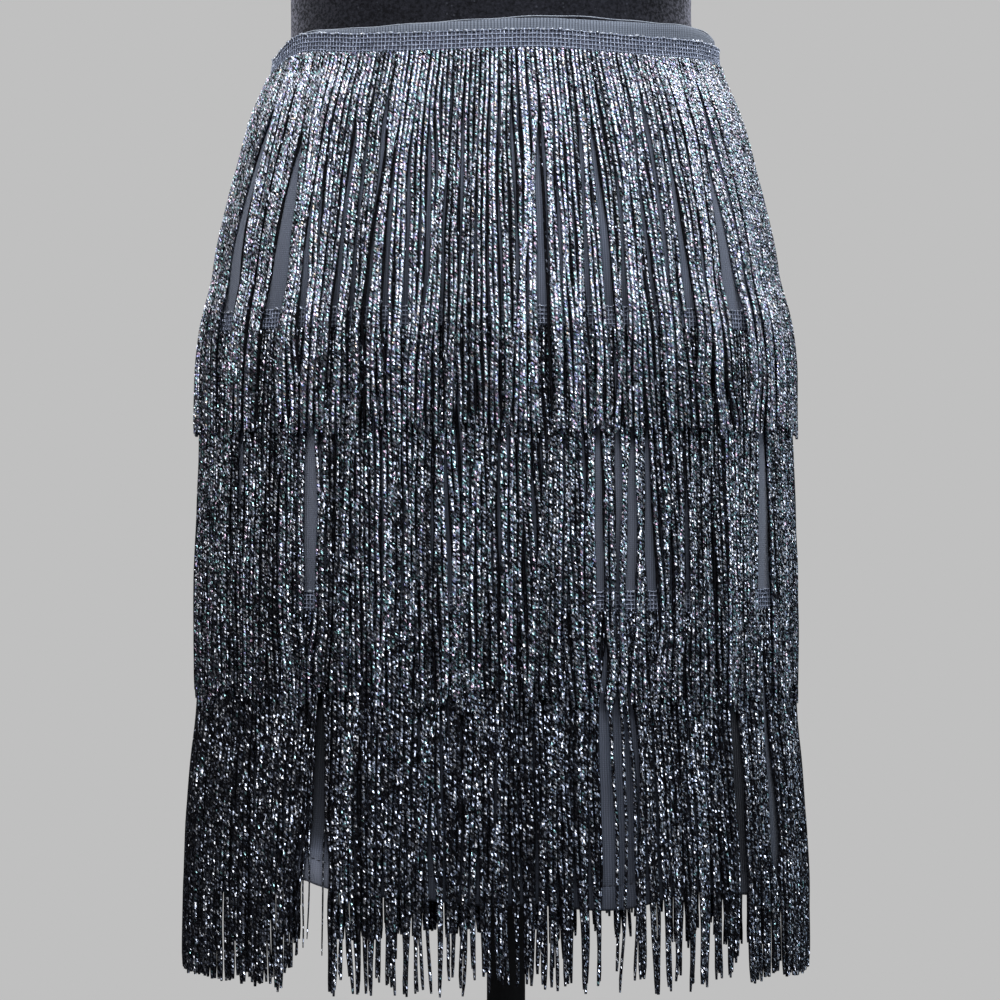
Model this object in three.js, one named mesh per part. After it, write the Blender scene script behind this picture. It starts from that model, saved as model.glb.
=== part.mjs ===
// Fringe pencil skirt, worn by a limbless dress form on a pole.
// Millimetres, +Z up, the front faces -Y. The origin is the middle of the base's underside.
// Angles go round the body in degrees: 0 is the right of the picture (+X), 90 the front, 270 the back.
import * as THREE from 'three';

// Heights of the skirt's edges above the floor
const waistEdge = 959;
const tapeHeight = 13;
const tapeTwoTop = 800;
const tapeThreeTop = 638.5;
const tierOneEnd = 728;
const tierTwoEnd = 570;
const tierThreeEnd = 410;
const hemHeight = 462;
const bandMiddle = 942;
const bandBottom = 932;
const bandAbove = 0.5;

// Thicknesses and clearances
const clothWall = 1.2;
const bandWall = 1.6;
const tapeWall = 1.2;
const fringeWall = 2.3;
const layerGap = 0.3;
const seatGap = 0.6;

// The skirt and the torso sit a little to the left of the pole
const bodyShift = -6;
const torsoLean = { from: 930, to: 980, by: -3 };
const stepsRound = 48;

// The dress form's stand
const torsoBottom = 700;
const neckTop = 1480;
const neckCapHeight = 10;
const poleRadius = 11.5;
const baseRadius = 200;
const baseThickness = 6;
const baseEdge = 2;
const hubHeight = 46;
const hubRadius = 36;
const flangeHeight = 28;
const flangeRadius = 42;
const neckRadius = 18;
const boreRadius = poleRadius + layerGap;

// Facets round each turned piece
const poleSteps = 24;
const collarSteps = 32;
const baseSteps = 64;

// The outer face of the knit cloth: half width, and depth to the front and to the back
const clothSections = [
  { z: 972, half: 132.2, front: 96.2, back: 101.8 },
  { z: 942, half: 134.5, front: 98, back: 104.5 },
  { z: 930, half: 139.0, front: 101, back: 108 },
  { z: 906, half: 147.5, front: 106, back: 115 },
  { z: 870, half: 158.0, front: 111, back: 125 },
  { z: 834, half: 166.0, front: 114, back: 133 },
  { z: 798, half: 169.8, front: 115.5, back: 137 },
  { z: 750, half: 173.5, front: 116, back: 138 },
  { z: 690, half: 174.5, front: 115.5, back: 134 },
  { z: 630, half: 175.0, front: 115.5, back: 128.5 },
  { z: 570, half: 176.2, front: 116.5, back: 125 },
  { z: 510, half: 180.0, front: 118, back: 124 },
  { z: 462, half: 182.6, front: 119, back: 124 },
  { z: 410, half: 183.2, front: 119, back: 124 },
];

// How far the torso lies inside the cloth's inner face, where the skirt covers it
const torsoUnderCloth = [
  { z: 714, side: 6, front: 6, back: 6 },
  { z: 730, side: 2, front: 2, back: 2 },
  { z: 750, side: seatGap, front: seatGap, back: seatGap },
  { z: 798, side: seatGap, front: seatGap, back: seatGap },
  { z: 834, side: 2.4, front: 1.6, back: 1.4 },
  { z: 870, side: 5.0, front: 3.0, back: 3.0 },
  { z: 906, side: 8.0, front: 3.8, back: 5.0 },
  { z: 930, side: 8.8, front: 4.4, back: 6.0 },
  { z: 959, side: 10.0, front: 4.6, back: 6.4 },
];

// The torso above the skirt, from the waist to the neck
const torsoSections = [
  { z: 990, half: 120, front: 90, back: 93 },
  { z: 1030, half: 124, front: 93, back: 94 },
  { z: 1080, half: 135, front: 101, back: 98 },
  { z: 1130, half: 147, front: 111, back: 102 },
  { z: 1175, half: 156, front: 117, back: 105 },
  { z: 1230, half: 162, front: 113, back: 108 },
  { z: 1290, half: 166, front: 99, back: 106 },
  { z: 1335, half: 164, front: 86, back: 98 },
  { z: 1365, half: 151, front: 76, back: 88 },
  { z: 1387, half: 126, front: 67, back: 78 },
  { z: 1404, half: 96, front: 61, back: 70 },
  { z: 1420, half: 72, front: 57, back: 63 },
  { z: 1440, half: 60, front: 54, back: 58 },
  { z: neckTop, half: 57, front: 52, back: 55 },
];

// Soft vertical folds of the free-hanging part, deepest at the hem: + stands out, - falls in
const hemFolds = [
  { at: 22, width: 15, depth: 2.4 },
  { at: 54, width: 14, depth: 2.6 },
  { at: 78, width: 16, depth: -2.8 },
  { at: 126, width: 14, depth: 3.6 },
  { at: 146, width: 13, depth: -2.2 },
  { at: 212, width: 15, depth: 3.0 },
  { at: 246, width: 18, depth: -3.6 },
  { at: 276, width: 15, depth: 2.8 },
  { at: 305, width: 16, depth: -3.0 },
  { at: 335, width: 14, depth: 2.6 },
];
const foldTop = 640;

// How far each edge rises or dips from its mean height, round the body
const hemWaves = [
  { at: 0, width: 24, rise: -4 },
  { at: 50, width: 15, rise: 5 },
  { at: 70, width: 15, rise: -4 },
  { at: 108, width: 15, rise: 4 },
  { at: 128, width: 16, rise: 9 },
  { at: 180, width: 26, rise: -5 },
  { at: 248, width: 20, rise: 5 },
  { at: 292, width: 20, rise: -4 },
];
const waistWaves = [
  { at: 40, width: 36, rise: -1.2 },
  { at: 148, width: 24, rise: 3 },
  { at: 167, width: 19, rise: -5 },
  { at: 184, width: 26, rise: -4 },
];
const bandWaves = [
  { at: 42, width: 80, rise: 9.5 },
  { at: 108, width: 50, rise: 4 },
  { at: 300, width: 60, rise: 5 },
];

// How far each tier's inner face stands off the cloth, as it passes over the tape and tier below it
const tierOneLift = [
  { z: 945, lift: 0.4 },
  { z: 930, lift: 1.0 },
  { z: 812, lift: 1.4 },
  { z: 802, lift: 3.4 },
  { z: 728, lift: 3.7 },
];
const tierTwoLift = [
  { z: 786, lift: 0.4 },
  { z: 728, lift: 0.6 },
  { z: 690, lift: 1.9 },
  { z: 641, lift: 3.4 },
  { z: 570, lift: 3.6 },
];
const tierThreeLift = [
  { z: 625, lift: 0.4 },
  { z: 570, lift: 0.6 },
  { z: 540, lift: 1.6 },
  { z: 410, lift: 2.0 },
];

const radians = THREE.MathUtils.degToRad;

// A column of a table, straight between its rows and level past its ends
function readTable(table, z, column) {
  const rows = [...table].sort((a, b) => a.z - b.z);
  if (z <= rows[0].z) return rows[0][column];
  for (let i = 1; i < rows.length; i += 1) {
    const [low, high] = [rows[i - 1], rows[i]];
    if (z <= high.z) {
      const share = (z - low.z) / (high.z - low.z);
      return THREE.MathUtils.lerp(low[column], high[column], share);
    }
  }
  return rows[rows.length - 1][column];
}

function sectionAt(table, z) {
  const [half, front, back] = ['half', 'front', 'back'].map((column) => readTable(table, z, column));
  return { half, front, back };
}

// A soft hump, 1 at its middle and 0 beyond its width on either side
function hump(angle, at, width) {
  const away = Math.abs(((angle - at + 540) % 360) - 180) / width;
  return away < 1 ? 0.5 + 0.5 * Math.cos(Math.PI * away) : 0;
}

function waveAt(waves, angle) {
  return waves.reduce((sum, wave) => sum + wave.rise * hump(angle, wave.at, wave.width), 0);
}

function foldAt(angle, z) {
  const share = THREE.MathUtils.clamp((foldTop - z) / (foldTop - hemHeight), 0, 1);
  const fade = share * share;
  return fade * hemFolds.reduce((sum, fold) => sum + fold.depth * hump(angle, fold.at, fold.width), 0);
}

// A point on a section at an angle, moved straight out from it by a distance
function sectionPoint(section, angle, z, out) {
  const [c, s] = [Math.cos(radians(angle)), Math.sin(radians(angle))];
  const depth = s >= 0 ? section.front : section.back;
  const normal = new THREE.Vector2(c / section.half, -s / depth).normalize();
  return [bodyShift + section.half * c + normal.x * out, -depth * s + normal.y * out, z];
}

// The torso's middle from side to side: above the waist it stands a little further to the left
function torsoMiddle(z) {
  const { from, to, by } = torsoLean;
  return by * THREE.MathUtils.smoothstep(z, from, to);
}

function clothPoint(angle, z, out) {
  return sectionPoint(sectionAt(clothSections, z), angle, z, out + foldAt(angle, z));
}

function meshFromPoints(points, triangles) {
  const geometry = new THREE.BufferGeometry();
  geometry.setAttribute('position', new THREE.Float32BufferAttribute(points.flat(), 3));
  geometry.setIndex(triangles);
  geometry.computeVertexNormals();
  return geometry;
}

// Wall of cloth. Rows run from top to bottom, each with its height at an angle and its two offsets.
// nudge moves the end columns of an open panel, so that it stops short of the seam.
function clothWallGeometry(rows, angles, closed, nudge = 0) {
  const points = [];
  const addPoint = (angle, row, out, end) => {
    const point = clothPoint(angle, row.height(angle), out);
    if (end) point[1] += nudge;
    points.push(point);
  };
  rows.forEach((row) => {
    angles.forEach((angle, i) => {
      const end = !closed && (i === 0 || i === angles.length - 1);
      addPoint(angle, row, row.outer, end);
      addPoint(angle, row, row.inner, end);
    });
  });
  const count = angles.length;
  const outer = (row, i) => 2 * (row * count + (i % count));
  const inner = (row, i) => outer(row, i) + 1;
  const triangles = [];
  const quad = (a, b, c, d) => triangles.push(a, b, c, a, c, d);
  const last = rows.length - 1;
  const spans = closed ? count : count - 1;
  for (let i = 0; i < spans; i += 1) {
    for (let row = 0; row < last; row += 1) {
      quad(outer(row, i), outer(row, i + 1), outer(row + 1, i + 1), outer(row + 1, i));
      quad(inner(row, i), inner(row + 1, i), inner(row + 1, i + 1), inner(row, i + 1));
    }
    quad(outer(0, i), inner(0, i), inner(0, i + 1), outer(0, i + 1));
    quad(outer(last, i), outer(last, i + 1), inner(last, i + 1), inner(last, i));
  }
  if (!closed) {
    for (let row = 0; row < last; row += 1) {
      const end = count - 1;
      quad(outer(row, 0), outer(row + 1, 0), inner(row + 1, 0), inner(row, 0));
      quad(outer(row, end), inner(row, end), inner(row + 1, end), outer(row + 1, end));
    }
  }
  return meshFromPoints(points, triangles);
}

// Solid through a stack of sections from bottom to top, closed by flat ends
function stackGeometry(sections) {
  const points = [];
  const triangles = [];
  sections.forEach((section) => {
    for (let i = 0; i < stepsRound; i += 1) {
      const [x, y, z] = sectionPoint(section, (360 * i) / stepsRound, section.z, 0);
      points.push([x + torsoMiddle(z), y, z]);
    }
  });
  const index = (row, i) => row * stepsRound + (i % stepsRound);
  const last = sections.length - 1;
  const centreAt = (z) => points.push([bodyShift + torsoMiddle(z), 0, z]) - 1;
  const bottomCentre = centreAt(sections[0].z);
  const topCentre = centreAt(sections[last].z);
  for (let i = 0; i < stepsRound; i += 1) {
    for (let row = 0; row < last; row += 1) {
      triangles.push(index(row, i), index(row + 1, i), index(row + 1, i + 1));
      triangles.push(index(row, i), index(row + 1, i + 1), index(row, i + 1));
    }
    triangles.push(bottomCentre, index(0, i), index(0, i + 1));
    triangles.push(topCentre, index(last, i + 1), index(last, i));
  }
  return meshFromPoints(points, triangles);
}

// Round piece about the pole's axis, from a profile of points with a radius and a height
function turnedGeometry(profile, steps) {
  const points = profile.map(({ r, z }) => new THREE.Vector2(r, z));
  return new THREE.LatheGeometry(points, steps).rotateX(Math.PI / 2);
}

function anglesBetween(from, to) {
  const step = 360 / stepsRound;
  const count = Math.round((to - from) / step);
  return Array.from({ length: count + 1 }, (_, i) => from + i * step);
}

const roundAngles = anglesBetween(0, 360).slice(0, -1);

// Every height where a table turns, from one height down to another
function levelsBetween(top, bottom, ...tables) {
  const turns = tables.flat().map((row) => row.z);
  const inside = turns.filter((z) => z < top - 1 && z > bottom + 1);
  return [top, ...new Set(inside.sort((a, b) => b - a)), bottom];
}

function levelRow(z, inner, outer) {
  return { height: () => z, inner, outer };
}

function waistHeight(angle) {
  return waistEdge + waveAt(waistWaves, angle);
}

function panelGeometry(from, to, nudge) {
  const [, ...levels] = levelsBetween(waistEdge, hemHeight, clothSections).slice(0, -1);
  const rows = [
    { height: waistHeight, inner: -clothWall, outer: 0 },
    ...levels.map((z) => levelRow(z, -clothWall, 0)),
    { height: (angle) => hemHeight + waveAt(hemWaves, angle), inner: -clothWall, outer: 0 },
  ];
  return clothWallGeometry(rows, anglesBetween(from, to), false, nudge);
}

function waistbandGeometry() {
  const outer = -clothWall - layerGap;
  const inner = outer - bandWall;
  const rows = [
    { height: (angle) => waistHeight(angle) + bandAbove + waveAt(bandWaves, angle), inner, outer },
    levelRow(bandMiddle, inner, outer),
    levelRow(bandBottom, inner, outer),
  ];
  return clothWallGeometry(rows, roundAngles, true);
}

function tapeGeometry(topHeight) {
  const offsets = { inner: layerGap, outer: layerGap + tapeWall };
  const rows = [
    { height: (angle) => topHeight(angle), ...offsets },
    { height: (angle) => topHeight(angle) - tapeHeight, ...offsets },
  ];
  return clothWallGeometry(rows, roundAngles, true);
}

// The reach of one tier's strands, from just under its tape to their ends
function tierGeometry(topHeight, end, lifts) {
  const top = Math.min(...roundAngles.map(topHeight)) - tapeHeight - layerGap;
  const offsets = (z) => {
    const inner = readTable(lifts, z, 'lift');
    return { inner, outer: inner + fringeWall };
  };
  const levels = levelsBetween(top, end, clothSections, lifts).slice(1);
  const rows = [
    { height: (angle) => topHeight(angle) - tapeHeight - layerGap, ...offsets(top) },
    ...levels.map((z) => ({ height: () => z, ...offsets(z) })),
  ];
  return clothWallGeometry(rows, roundAngles, true);
}

function torsoGeometry() {
  const covered = torsoUnderCloth.map((gap) => {
    const cloth = sectionAt(clothSections, gap.z);
    return {
      z: gap.z,
      half: cloth.half - clothWall - gap.side,
      front: cloth.front - clothWall - gap.front,
      back: cloth.back - clothWall - gap.back,
    };
  });
  const [lowest] = covered;
  const rounding = [
    { up: 0, inset: 17 },
    { up: 5, inset: 7 },
  ];
  const bottom = rounding.map(({ up, inset }) => ({
    z: torsoBottom + up,
    half: lowest.half - inset,
    front: lowest.front - inset,
    back: lowest.back - inset,
  }));
  return stackGeometry([...bottom, ...covered, ...torsoSections]);
}

function neckCapGeometry() {
  const neck = torsoSections[torsoSections.length - 1];
  const steps = [
    { up: layerGap, inset: 2 },
    { up: layerGap + 6, inset: 2 },
    { up: layerGap + neckCapHeight, inset: 8 },
  ];
  return stackGeometry(
    steps.map(({ up, inset }) => ({
      z: neckTop + up,
      half: neck.half - inset,
      front: neck.front - inset,
      back: neck.back - inset,
    })),
  );
}

// Collar under the torso: a plate that the torso stands on, with a neck round the pole
function flangeGeometry() {
  const top = torsoBottom - layerGap;
  const bottom = top - flangeHeight;
  const profile = [
    { r: boreRadius, z: bottom },
    { r: neckRadius, z: bottom },
    { r: neckRadius + 2, z: top - 9 },
    { r: flangeRadius, z: top - 5 },
    { r: flangeRadius, z: top },
    { r: boreRadius, z: top },
    { r: boreRadius, z: bottom },
  ];
  return turnedGeometry(profile, collarSteps);
}

// Hub on the base: a foot with a neck that holds the pole upright
function hubGeometry() {
  const bottom = baseThickness + layerGap;
  const top = bottom + hubHeight;
  const profile = [
    { r: boreRadius, z: bottom },
    { r: hubRadius, z: bottom },
    { r: hubRadius, z: bottom + 5 },
    { r: neckRadius + 3, z: bottom + 11 },
    { r: neckRadius, z: top },
    { r: boreRadius, z: top },
    { r: boreRadius, z: bottom },
  ];
  return turnedGeometry(profile, collarSteps);
}

function baseGeometry() {
  const profile = [
    { r: 0, z: 0 },
    { r: baseRadius - 1, z: 0 },
    { r: baseRadius, z: 1 },
    { r: baseRadius, z: baseThickness - baseEdge },
    { r: baseRadius - baseEdge, z: baseThickness },
    { r: 0, z: baseThickness },
  ];
  return turnedGeometry(profile, baseSteps);
}

function poleGeometry() {
  const bottom = baseThickness + layerGap;
  const length = torsoBottom - layerGap - bottom;
  return new THREE.CylinderGeometry(poleRadius, poleRadius, length, poleSteps)
    .rotateX(Math.PI / 2)
    .translate(0, 0, bottom + length / 2);
}

const finishes = {
  knit: { color: 0x2b3036, roughness: 0.9, metalness: 0 },
  band: { color: 0x343a42, roughness: 0.9, metalness: 0 },
  tape: { color: 0x3b3a44, roughness: 0.7, metalness: 0.2 },
  fringe: { color: 0x4a4e56, roughness: 0.5, metalness: 0.5 },
  velvet: { color: 0x0d0d10, roughness: 1, metalness: 0 },
  blackMetal: { color: 0x0b0b0c, roughness: 0.4, metalness: 0.4 },
  blackCap: { color: 0x121214, roughness: 0.5, metalness: 0 },
};

const skirtOnForm = new THREE.Group();

function addPiece(name, geometry, finish) {
  const piece = new THREE.Mesh(geometry, new THREE.MeshStandardMaterial(finishes[finish]));
  piece.name = name;
  skirtOnForm.add(piece);
}

addPiece('skirt_front', panelGeometry(0, 180, -layerGap / 2), 'knit');
addPiece('skirt_back', panelGeometry(180, 360, layerGap / 2), 'knit');
addPiece('waistband', waistbandGeometry(), 'band');

const trims = [
  { top: waistHeight, end: tierOneEnd, lifts: tierOneLift },
  { top: () => tapeTwoTop, end: tierTwoEnd, lifts: tierTwoLift },
  { top: () => tapeThreeTop, end: tierThreeEnd, lifts: tierThreeLift },
];
trims.forEach(({ top, end, lifts }, i) => {
  addPiece(`fringe_tape_${i + 1}`, tapeGeometry(top), 'tape');
  addPiece(`fringe_tier_${i + 1}`, tierGeometry(top, end, lifts), 'fringe');
});

addPiece('form_torso', torsoGeometry(), 'velvet');
addPiece('form_neck_cap', neckCapGeometry(), 'blackCap');
addPiece('form_flange', flangeGeometry(), 'blackMetal');
addPiece('pole', poleGeometry(), 'blackMetal');
addPiece('base_hub', hubGeometry(), 'blackMetal');
addPiece('base_plate', baseGeometry(), 'blackMetal');

export default skirtOnForm;
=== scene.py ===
import math
from functools import partial

import bmesh
import bpy
import numpy as np
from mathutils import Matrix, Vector


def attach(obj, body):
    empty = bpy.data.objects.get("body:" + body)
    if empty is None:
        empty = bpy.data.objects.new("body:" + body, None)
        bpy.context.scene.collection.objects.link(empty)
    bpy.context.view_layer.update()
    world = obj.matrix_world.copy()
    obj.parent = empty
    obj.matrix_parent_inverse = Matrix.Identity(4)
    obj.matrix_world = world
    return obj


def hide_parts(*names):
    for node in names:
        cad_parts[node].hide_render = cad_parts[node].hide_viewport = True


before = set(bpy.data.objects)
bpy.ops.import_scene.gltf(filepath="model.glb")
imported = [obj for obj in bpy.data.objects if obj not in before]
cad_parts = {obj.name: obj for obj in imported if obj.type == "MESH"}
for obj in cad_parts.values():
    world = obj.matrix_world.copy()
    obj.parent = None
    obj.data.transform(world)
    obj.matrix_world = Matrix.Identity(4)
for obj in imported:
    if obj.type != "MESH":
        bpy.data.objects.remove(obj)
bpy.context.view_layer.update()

# Fringe pencil skirt of rib knit on a velvet dress form.
# Tables are in millimetres, apart from the studio's, with heights above the floor.
# Angles go round the body in degrees: 0 is the right of the picture, 90 the front, 180 the left
# and 270 the back.
mm = 0.001


# Small helpers for numbers and meshes

def table(columns, *rows):  # a dictionary for each row, with its values under the columns' names
    return [dict(zip(columns.split(), row)) for row in rows]


def hump(away):  # 1 in the middle, 0 from 1 outwards
    return np.where(np.abs(away) < 1, 0.5 + 0.5 * np.cos(np.pi * np.clip(away, -1, 1)), 0.0)


def bell(away):
    return np.exp(-(away**2))


def ease(share):  # from 0 to 1, soft at both ends
    share = np.clip(share, 0, 1)
    return share * share * (3 - 2 * share)


def turnBetween(angle, at):  # signed difference of two angles
    return (angle - at + 540) % 360 - 180


def readColumn(rows, column, heights):  # smooth curve through a table's column
    ordered = sorted(rows, key=lambda row: row["z"])
    z, value = (np.array([row[key] for row in ordered], float) for key in ("z", column))
    step = np.diff(z)
    slope = np.diff(value) / step
    middle = (slope[1:] * step[:-1] + slope[:-1] * step[1:]) / (step[1:] + step[:-1])
    tangent = np.concatenate([slope[:1], middle, slope[-1:]])
    at = np.clip(heights, z[0], z[-1])
    i = np.clip(np.searchsorted(z, at) - 1, 0, len(step) - 1)
    t = (at - z[i]) / step[i]
    start = (2 * t**3 - 3 * t**2 + 1) * value[i] + (t**3 - 2 * t**2 + t) * step[i] * tangent[i]
    end = (3 * t**2 - 2 * t**3) * value[i + 1] + (t**3 - t**2) * step[i] * tangent[i + 1]
    return start + end


def reworked(mesh, change):  # the same mesh after a change to its faces
    work = bmesh.new()
    work.from_mesh(mesh)
    change(work)
    work.to_mesh(mesh)
    work.free()
    return mesh


def mergeDoubles(work):
    bmesh.ops.remove_doubles(work, verts=work.verts, dist=1e-6)


def closeEnds(work):  # closes every open edge loop with flat faces
    bmesh.ops.holes_fill(work, edges=[edge for edge in work.edges if edge.is_boundary], sides=0)
    bmesh.ops.recalc_face_normals(work, faces=work.faces)


def closeOnAxis(work):  # for a turned shape, whose middle comes out as edges of no length
    bmesh.ops.dissolve_degenerate(work, dist=1e-6, edges=work.edges)
    bmesh.ops.recalc_face_normals(work, faces=work.faces)


def plainMesh(name, points, edges=(), faces=()):  # points in mm
    mesh = bpy.data.meshes.new(name)
    mesh.from_pydata((points.reshape(-1, 3) * mm).tolist(), list(edges), list(faces))
    return mesh


def gridMesh(name, points, uv=None, around=False):
    # points is rows x columns x 3, its rows from top to bottom; a grid that goes round repeats a column
    rows, columns = points.shape[:2]
    index = np.arange(rows * columns).reshape(rows, columns)
    corners = [index[:-1, :-1], index[:-1, 1:], index[1:, 1:], index[1:, :-1]]
    faces = np.stack(corners, -1).reshape(-1, 4)
    mesh = plainMesh(name, points, faces=faces.tolist())
    if uv is not None:
        layer = mesh.uv_layers.new(name="UVMap")
        layer.data.foreach_set("uv", uv.reshape(-1, 2)[faces.ravel()].astype(np.float32).ravel())
    mesh.polygons.foreach_set("use_smooth", [True] * len(faces))
    return reworked(mesh, mergeDoubles) if around else mesh


def setAttribute(mesh, name, kind, values):
    key = "vector" if kind == "FLOAT_VECTOR" else "value"
    mesh.attributes.new(name, kind, "POINT").data.foreach_set(key, np.asarray(values, np.float32).ravel())


def addObject(name, mesh):
    piece = bpy.data.objects.new(name, mesh)
    bpy.context.scene.collection.objects.link(piece)
    return piece


def applied(piece):  # the same piece with its modifiers turned into plain mesh
    name = piece.name
    graph = bpy.context.evaluated_depsgraph_get()
    mesh = bpy.data.meshes.new_from_object(
        piece.evaluated_get(graph), preserve_all_data_layers=True, depsgraph=graph
    )
    mesh.name = name
    piece.modifiers.clear()
    piece.data = mesh
    return piece


def thicken(piece, thickness):
    wall = piece.modifiers.new("wall", "SOLIDIFY")
    wall.thickness = thickness * mm
    wall.offset = -1
    wall.use_even_offset = True
    return applied(piece)


def hand(piece, material, replaced=()):  # gives a piece its finish, body and place in the record
    if material:
        piece.data.materials.clear()
        piece.data.materials.append(material)
    if replaced:
        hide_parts(*replaced)
    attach(piece, "root")
    return piece


# Node helpers

def feed(tree, node, inputs):  # joins sockets, and sets plain values
    for key, value in inputs.items():
        if isinstance(value, bpy.types.NodeSocket):
            tree.links.new(value, node.inputs[key])
        else:
            node.inputs[key].default_value = value
    return node


def addNode(tree, kind, inputs=None, **settings):
    node = tree.nodes.new(kind)
    for key, value in settings.items():
        setattr(node, key, value)
    return feed(tree, node, inputs or {})


def socketOf(tree, kind, inputs=None, socket=0, **settings):  # what a new node gives out
    return addNode(tree, kind, inputs, **settings).outputs[socket]


def maths(tree, operation, a, b=0.0, c=0.0, clamp=False):
    return socketOf(tree, "ShaderNodeMath", {0: a, 1: b, 2: c}, operation=operation, use_clamp=clamp)


def vectorMaths(tree, operation, a, b=(0, 0, 0)):
    return socketOf(tree, "ShaderNodeVectorMath", {0: a, 1: b}, operation=operation)


def vectorOf(tree, x=0.0, y=0.0, z=0.0):
    return socketOf(tree, "ShaderNodeCombineXYZ", {0: x, 1: y, 2: z})


def mixColour(tree, share, a, b, blend="MIX"):
    inputs = {0: share, 6: a, 7: b}
    return socketOf(tree, "ShaderNodeMix", inputs, socket=2, data_type="RGBA", blend_type=blend)


def noise(tree, place, scale, detail, roughness=0.5):
    inputs = {"Vector": place, "Scale": scale, "Detail": detail, "Roughness": roughness}
    return socketOf(tree, "ShaderNodeTexNoise", inputs)


def between(tree, value, low, high):  # 0 up to the low value, 1 from the high one
    return socketOf(tree, "ShaderNodeMapRange", {"Value": value, "From Min": low, "From Max": high})


def dice(tree, socket, value, dimensions):  # a chance value and colour for each value
    return addNode(tree, "ShaderNodeTexWhiteNoise", {socket: value}, noise_dimensions=dimensions).outputs


def bump(tree, height, strength, depth):
    return socketOf(tree, "ShaderNodeBump", {"Height": height, "Strength": strength, "Distance": depth})


def attribute(tree, name):
    return socketOf(tree, "ShaderNodeAttribute", socket="Fac", attribute_name=name)


def objectPlace(tree):
    return socketOf(tree, "ShaderNodeTexCoord", socket="Object")


def clothPlace(tree):  # mm across and down the cloth, or turns round a cord and mm along it
    return socketOf(tree, "ShaderNodeUVMap", uv_map="UVMap")


def newGroup(name, kind, inputs, outputs):
    # a socket has its kind's name or, where it starts with a number, that number
    tree = bpy.data.node_groups.new(name, kind)
    for socketName, given in inputs.items():
        plain = not isinstance(given, str)
        socketKind = type(given).__name__.title() if plain else given
        socket = tree.interface.new_socket(socketName, in_out="INPUT", socket_type=f"NodeSocket{socketKind}")
        if plain:
            socket.default_value = given
    for socketName, socketKind in outputs.items():
        tree.interface.new_socket(socketName, in_out="OUTPUT", socket_type=f"NodeSocket{socketKind}")
    return tree, tree.nodes.new("NodeGroupInput").outputs, tree.nodes.new("NodeGroupOutput")


def newMaterial(name):
    material = bpy.data.materials.new(name)
    material.use_nodes = True
    tree = material.node_tree
    return material, tree, tree.nodes["Principled BSDF"]


def useGroup(tree, group, inputs):
    node = tree.nodes.new("ShaderNodeGroup")
    node.node_tree = group
    return feed(tree, node, inputs).outputs


# The body: sections of the knit cloth, the torso inside it and above it

body = {
    "shift": -6,  # from the pole
    "waistEdge": 959,
    "hem": 462,
    "foldTop": 640,
    "wall": 1.2,
    "cloth": table(
        "z half front back",
        (972, 132.2, 96.2, 101.8), (942, 134.5, 98, 104.5), (930, 139.0, 101, 108), (906, 147.5, 106, 115),
        (870, 158.0, 111, 125), (834, 166.0, 114, 133), (798, 169.8, 115.5, 137), (750, 173.5, 116, 138),
        (690, 174.5, 115.5, 134), (630, 175.0, 115.5, 128.5), (570, 176.2, 116.5, 125),
        (510, 180.0, 118, 124), (462, 182.6, 119, 124), (410, 183.2, 119, 124),
    ),
    "torsoGaps": table(  # from the cloth's inner face in to the torso
        "z side front back",
        (714, 6, 6, 6), (730, 2, 2, 2), (750, 0.9, 0.9, 0.9), (798, 0.9, 0.9, 0.9), (834, 2.4, 1.8, 1.6),
        (870, 5.0, 3.0, 3.0), (906, 8.0, 3.8, 5.0), (930, 8.8, 4.4, 6.0), (959, 10.0, 4.6, 6.4),
    ),
    "torsoAbove": table(
        "z half front back",
        (990, 120, 90, 93), (1030, 124, 93, 94), (1080, 135, 101, 98), (1130, 147, 111, 102),
        (1175, 156, 117, 105), (1230, 162, 113, 108), (1290, 166, 99, 106), (1335, 164, 86, 98),
        (1365, 151, 76, 88), (1387, 126, 67, 78), (1404, 96, 61, 70), (1420, 72, 57, 63),
        (1440, 60, 54, 58), (1480, 57, 52, 55),
    ),
    "folds": table(  # soft folds of the free-hanging part, deepest at the hem
        "at width depth",
        (22, 15, 2.4), (54, 14, 2.6), (78, 16, -2.8), (126, 14, 3.6), (146, 13, -2.2), (212, 15, 3.0),
        (246, 18, -3.6), (276, 15, 2.8), (305, 16, -3.0), (335, 14, 2.6),
    ),
    "hemWaves": table(
        "at width rise",
        (0, 24, -4), (50, 15, 5), (70, 15, -4), (108, 15, 4), (127, 14, 12), (180, 26, -5), (248, 20, 5),
        (292, 20, -4),
    ),
    "waistWaves": table(
        "at width rise",
        (52, 30, -1.7), (108, 34, -1.5), (148, 24, 3), (167, 19, -5), (184, 26, -4),
    ),
    "bandWaves": table("at width rise", (42, 80, 8.0), (108, 50, 4), (300, 60, 5)),
}


def waveAt(waves, angle):
    angle = np.asarray(angle, float)
    return sum(wave["rise"] * hump(turnBetween(angle, wave["at"]) / wave["width"]) for wave in waves)


def foldAt(angle, z):
    share = np.clip((body["foldTop"] - z) / (body["foldTop"] - body["hem"]), 0, 1)
    depths = [fold["depth"] * hump(turnBetween(angle, fold["at"]) / fold["width"]) for fold in body["folds"]]
    return share**2 * sum(depths)


def sectionPoint(half, front, back, angle, z, out, shift=body["shift"]):
    c, s = np.cos(np.radians(angle)), np.sin(np.radians(angle))
    depth = np.where(s >= 0, front, back)
    nx, ny = c / half, -s / depth
    length = np.hypot(nx, ny)
    x = shift + half * c + nx / length * out
    y = -depth * s + ny / length * out
    return np.stack(np.broadcast_arrays(x, y, z), -1)


def clothSection(z):
    return [readColumn(body["cloth"], column, z) for column in ("half", "front", "back")]


def clothPoint(angle, z, out):
    angle, z, out = np.broadcast_arrays(np.asarray(angle, float), z, out)
    return sectionPoint(*clothSection(z), angle, z, out + foldAt(angle, z))


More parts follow.
